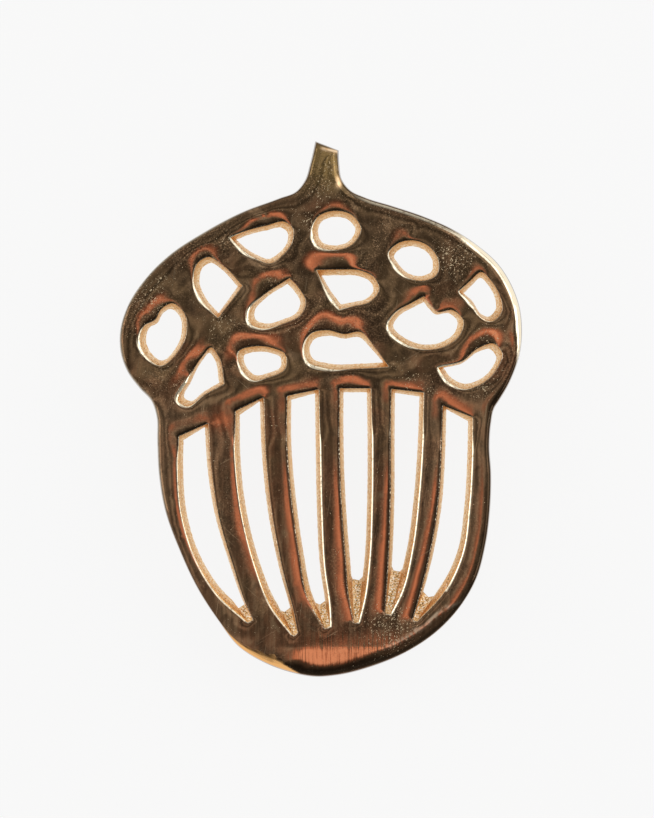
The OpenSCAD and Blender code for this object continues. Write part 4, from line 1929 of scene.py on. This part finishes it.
    def by_name(self) -> dict[str, Array]:
        """All the tints by the names that the finish asks for.

        The stem is yellower, with a painted sheen on its right side, the lower left bevel and the stem's
        crest and fillet have a painted gold highlight, and steep edges of the openings are crumbly, flecked
        partly with painted glints.

        Returns:
            One value a point for each name.
        """
        bevel = smooth_step(*self.bevel_edge, self.in_bevel())
        cap_share, nut_gain = self.crumbly_shares
        crumbly = smooth_step(*self.crumbly_steep, self.steep) * smooth_step(*self.at_mouth, self.to_rim)
        right = (1 - self.stem_yellow_share) * smooth_step(*self.right_sheen, self.x)
        return {
            "painted_reflection": self.painted_reflection(),
            "tarnish": self.tarnish(),
            "fresh": self.stem * (self.stem_yellow_share + right),
            "painted_highlight": self.painted_highlight(),
            "edge": crumbly * (cap_share + nut_gain * self.nut),
            "gilt": np.maximum.reduce([bevel, self.crest(), self.fillet()]),
            "pitted": np.maximum.reduce([pit.at(self.places) for pit in self.pits]),
        }


# Feet and studs


@dataclass
class Foot:
    """One turned foot with its stud hole."""

    corner: Corner
    low: Vector
    high: Vector
    leg_radius: float = 4.3 * MM
    sole_radius: float = 3.5 * MM
    sole_round: float = 1.2 * MM
    sole_middle_share: float = 0.2
    collar_height: float = 1.8 * MM
    collar_chamfer: float = 0.3 * MM
    hole_radius: float = 2.05 * MM
    hole_depth: float = 6.5 * MM
    hole_end_share: float = 0.3

    @property
    def name(self) -> str:
        """The foot's node."""
        return f"{self.corner.value}_foot"

    @property
    def middle(self) -> tuple[float, float]:
        """The foot's axis."""
        return (self.low.x + self.high.x) / 2, (self.low.y + self.high.y) / 2

    def profile(self) -> Array:
        """Radius and height along the foot: sole, leg, collar, seat and hole.

        Returns:
            Rows of radius and height, from the middle of the sole to the bottom of the hole.
        """
        top = self.high.z - self.low.z
        collar_radius = (self.high.x - self.low.x) / 2
        collar = top - self.collar_height
        chamfer = self.collar_chamfer
        end = self.hole_radius * self.hole_end_share
        steps = 9
        turn = np.linspace(0.0, np.pi / 2, steps)
        sole = np.column_stack([
            self.sole_radius - self.sole_round * (1 - np.sin(turn)),
            self.sole_round * (1 - np.cos(turn)),
        ])
        rise = np.linspace(0.0, 1.0, steps)[1:]
        leg = np.column_stack([
            self.sole_radius + (self.leg_radius - self.sole_radius) * rise,
            self.sole_round + (collar - chamfer - self.sole_round) * rise,
        ])
        upper = np.array([
            [self.leg_radius + chamfer * CORNER, collar - chamfer * CORNER],
            [self.leg_radius + chamfer, collar],
            [collar_radius - chamfer, collar],
            [collar_radius - chamfer * CORNER, collar + chamfer * CORNER],
            [collar_radius, collar + chamfer],
            [collar_radius, top - chamfer],
            [collar_radius - chamfer * CORNER, top - chamfer * CORNER],
            [collar_radius - chamfer, top],
            [self.hole_radius + chamfer, top],
            [self.hole_radius, top - chamfer],
            [self.hole_radius, top - self.hole_depth],
            [end, top - self.hole_depth - end],
        ])
        start = np.array([[self.sole_radius * self.sole_middle_share, 0.0]])
        return np.vstack([start, sole, leg, upper])

    def build(self) -> Object:
        """Turns the profile about the foot's axis.

        Returns:
            The foot, with a UV map of the angle and the way along the profile.
        """
        sides = 96
        sharp_degrees = 50.0
        profile = self.profile()
        builder = MeshBuilder()
        rings = turned(profile + [0.0, self.low.z], self.middle, sides)
        numbers = builder.add_strip(rings, Skin.POLISHED)
        builder.add_faces(numbers[0][None, ::-1])
        builder.add_faces(numbers[-1][None])
        piece = builder.make(f"turned_{self.name}", sharp_degrees)
        self.unwrap(piece.data, profile, sides)
        return piece

    @staticmethod
    def unwrap(mesh: Mesh, profile: Array, sides: int) -> None:
        """Gives every corner its share of the turn and of the way along the profile.

        Args:
            mesh: The foot's mesh.
            profile: Rows of radius and height.
            sides: Points in a ring.
        """
        steps = np.linalg.norm(np.diff(profile, axis=0), axis=1)
        way = np.concatenate([[0.0], np.cumsum(steps)]) / steps.sum()
        corners = np.empty(len(mesh.loops), dtype=np.int32)
        mesh.loops.foreach_get("vertex_index", corners)
        u = (corners % sides) / sides
        v = way[corners // sides]
        layer = mesh.uv_layers.new(name="turning")
        layer.data.foreach_set("uv", np.column_stack([u, v]).astype(np.float32).ravel())

    def dress(self, piece: Object, brass: Material) -> None:
        """Puts the finish on the foot and sets it in the frame.

        Args:
            piece: The foot.
            brass: Its finish.
        """
        piece.data.materials.append(brass)
        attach(piece, BODY)
        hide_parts(self.name)


@dataclass
class Studs:
    """The four studs, which keep their own solids."""

    nodes: dict[str, Object]

    def dress(self, steel: Material) -> None:
        """Puts the steel on every stud.

        Args:
            steel: Their finish.
        """
        for corner in Corner:
            stud = self.nodes[f"{corner.value}_stud"]
            stud.data.materials.clear()
            stud.data.materials.append(steel)
            LOG.info("%s: steel", stud.name)


# Studio


@dataclass(frozen=True)
class Softbox:
    """One rectangular lamp that faces the trivet."""

    name: str
    place: tuple[float, float, float]
    size: tuple[float, float]
    radiance: float

    def build(self) -> None:
        """Makes the lamp, whose power is its radiance times its area and pi."""
        lamp = bpy.data.lights.new(self.name, "AREA")
        lamp.shape = "RECTANGLE"
        lamp.size, lamp.size_y = self.size
        lamp.energy = self.radiance * self.size[0] * self.size[1] * math.pi
        holder = bpy.data.objects.new(self.name, lamp)
        holder.location = self.place
        holder.rotation_euler = (-Vector(self.place)).to_track_quat("-Z", "Y").to_euler()
        bpy.context.scene.collection.objects.link(holder)


@dataclass
class Studio:
    """The floor, the light and the camera."""

    picture_height: float = 818.0
    plate_pixels: float = 536.0
    plate_length: float = 180 * MM
    plate_z: float = 15.5 * MM
    camera_height: float = 0.95
    aside_pixels: float = 6.0
    sensor_height: float = 24.0
    floor_size: float = 30.0
    floor_colour: Colour = (0.9, 0.9, 0.9, 1.0)
    floor_roughness: float = 0.9
    floor_glow: float = 0.90
    floor_glow_colour: Colour = (0.97, 0.97, 0.97, 1.0)
    dim: Colour = (0.45, 0.45, 0.45, 1.0)
    white: Colour = (1.0, 1.0, 1.0, 1.0)
    dim_side: Band = (-0.85, -0.30)
    horizon: Band = (0.10, 0.45)
    overhead: tuple[tuple[float, float], ...] = (
        (-1, 0.45), (-0.58, 0.22), (-0.36, 0.34), (-0.25, 1), (-0.18, 0.8), (-0.11, 1), (-0.035, 0.46),
        (0.01, 0.4), (0.065, 1), (0.16, 0.32), (0.3, 0.78), (0.45, 0.55), (1, 1),
    )
    softboxes: tuple[Softbox, ...] = (
        Softbox("east_box", (1.15, -0.1, 0.50), (0.9, 0.5), 1.5),
        Softbox("west_box", (-1.15, 0.1, 0.50), (0.9, 0.5), 1.5),
        Softbox("north_east_box", (0.70, 0.60, 0.74), (0.75, 0.75), 0.95),
    )

    def build_floor(self) -> None:
        """Makes the floor, a flat square that shows pale to the eye and in the metal and keeps the shadow."""
        half = self.floor_size / 2
        corners = np.array([[-half, -half, 0.0], [half, -half, 0.0], [half, half, 0.0], [-half, half, 0.0]])
        builder = MeshBuilder()
        builder.add_faces(builder.add_points(corners)[None])
        floor = builder.make("studio_floor", sharp_degrees=30.0)
        made = bpy.data.materials.new("pale_floor")
        made.use_nodes = True
        sheet = Sheet(made.node_tree)
        shader = made.node_tree.nodes["Principled BSDF"]
        shader.inputs["Base Color"].default_value = self.floor_colour
        shader.inputs["Roughness"].default_value = self.floor_roughness
        shader.inputs["Specular IOR Level"].default_value = 0.0
        path = sheet.node("ShaderNodeLightPath")
        seen = sheet.math("MAXIMUM", path.outputs["Is Camera Ray"], path.outputs["Is Glossy Ray"])
        seen = sheet.math("MAXIMUM", seen, path.outputs["Is Transmission Ray"])
        glow = sheet.node("ShaderNodeEmission", {"Color": self.floor_glow_colour, "Strength": 1.0})
        factor = sheet.math("MULTIPLY", seen, self.floor_glow)
        mixed = sheet.node("ShaderNodeMixShader", {0: factor, 1: shader.outputs[0], 2: glow.outputs[0]})
        sheet.tree.links.new(mixed.outputs[0], made.node_tree.nodes["Material Output"].inputs["Surface"])
        floor.data.materials.append(made)

    def build_world(self) -> None:
        """Makes the world: pale along the horizon and dimmer overhead, with bright strips and a dark side."""
        world = bpy.data.worlds.new("studio")
        world.use_nodes = True
        bpy.context.scene.world = world
        sheet = Sheet(world.node_tree)
        direction = sheet.node("ShaderNodeTexCoord").outputs["Generated"]
        height = sheet.axes(direction)[2]
        inputs = {0: direction, 1: (-TOWARDS_DARK[0], -TOWARDS_DARK[1], 0.0)}
        lit = sheet.node("ShaderNodeVectorMath", inputs, operation="DOT_PRODUCT").outputs["Value"]
        low = sheet.mix(sheet.ranged(lit, *self.dim_side), self.dim, self.white)
        high = sheet.ramp(lit, self.overhead)
        colour = sheet.mix(sheet.ranged(height, *self.horizon), low, high)
        sheet.tree.links.new(colour, world.node_tree.nodes["Background"].inputs["Color"])

    def build_camera(self) -> None:
        """Sets the camera straight above the plate, with the picture's scale."""
        metres_per_pixel = self.plate_length / self.plate_pixels
        camera = bpy.data.cameras.new("camera")
        camera.sensor_fit = "VERTICAL"
        camera.sensor_height = self.sensor_height
        camera.lens = camera.sensor_height * self.camera_height / (self.picture_height * metres_per_pixel)
        holder = bpy.data.objects.new("camera", camera)
        holder.location = (self.aside_pixels * metres_per_pixel, 0.0, self.plate_z + self.camera_height)
        bpy.context.scene.collection.objects.link(holder)
        bpy.context.scene.camera = holder

    def build(self) -> None:
        """Builds the whole studio."""
        self.build_floor()
        self.build_world()
        for softbox in self.softboxes:
            softbox.build()
        self.build_camera()
        bpy.context.scene.view_settings.view_transform = "Standard"


def main() -> None:
    """Builds the studio and every piece, and logs the new pieces' face counts."""
    logging.basicConfig(level=logging.INFO, format="%(name)s: %(message)s")
    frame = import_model()
    Studio().build()
    effects = Effects()
    feet = [Foot(corner, *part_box(f"{corner.value}_foot")) for corner in Corner]
    plate = AcornPlate(*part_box("acorn_plate"), feet=[foot.middle for foot in feet])
    piece = plate.build()
    plate.dress(piece, PolishedBrass(effects=effects).material(), CastBrass().material())
    LOG.info("%s: %d faces", piece.name, len(piece.data.polygons))
    lathe_brass = TurnedBrass(effects=effects).material()
    for foot in feet:
        piece = foot.build()
        foot.dress(piece, lathe_brass)
        LOG.info("%s: %d faces", piece.name, len(piece.data.polygons))
    Studs(frame["nodes"]).dress(StudSteel().material())


if __name__ == "__main__":
    main()
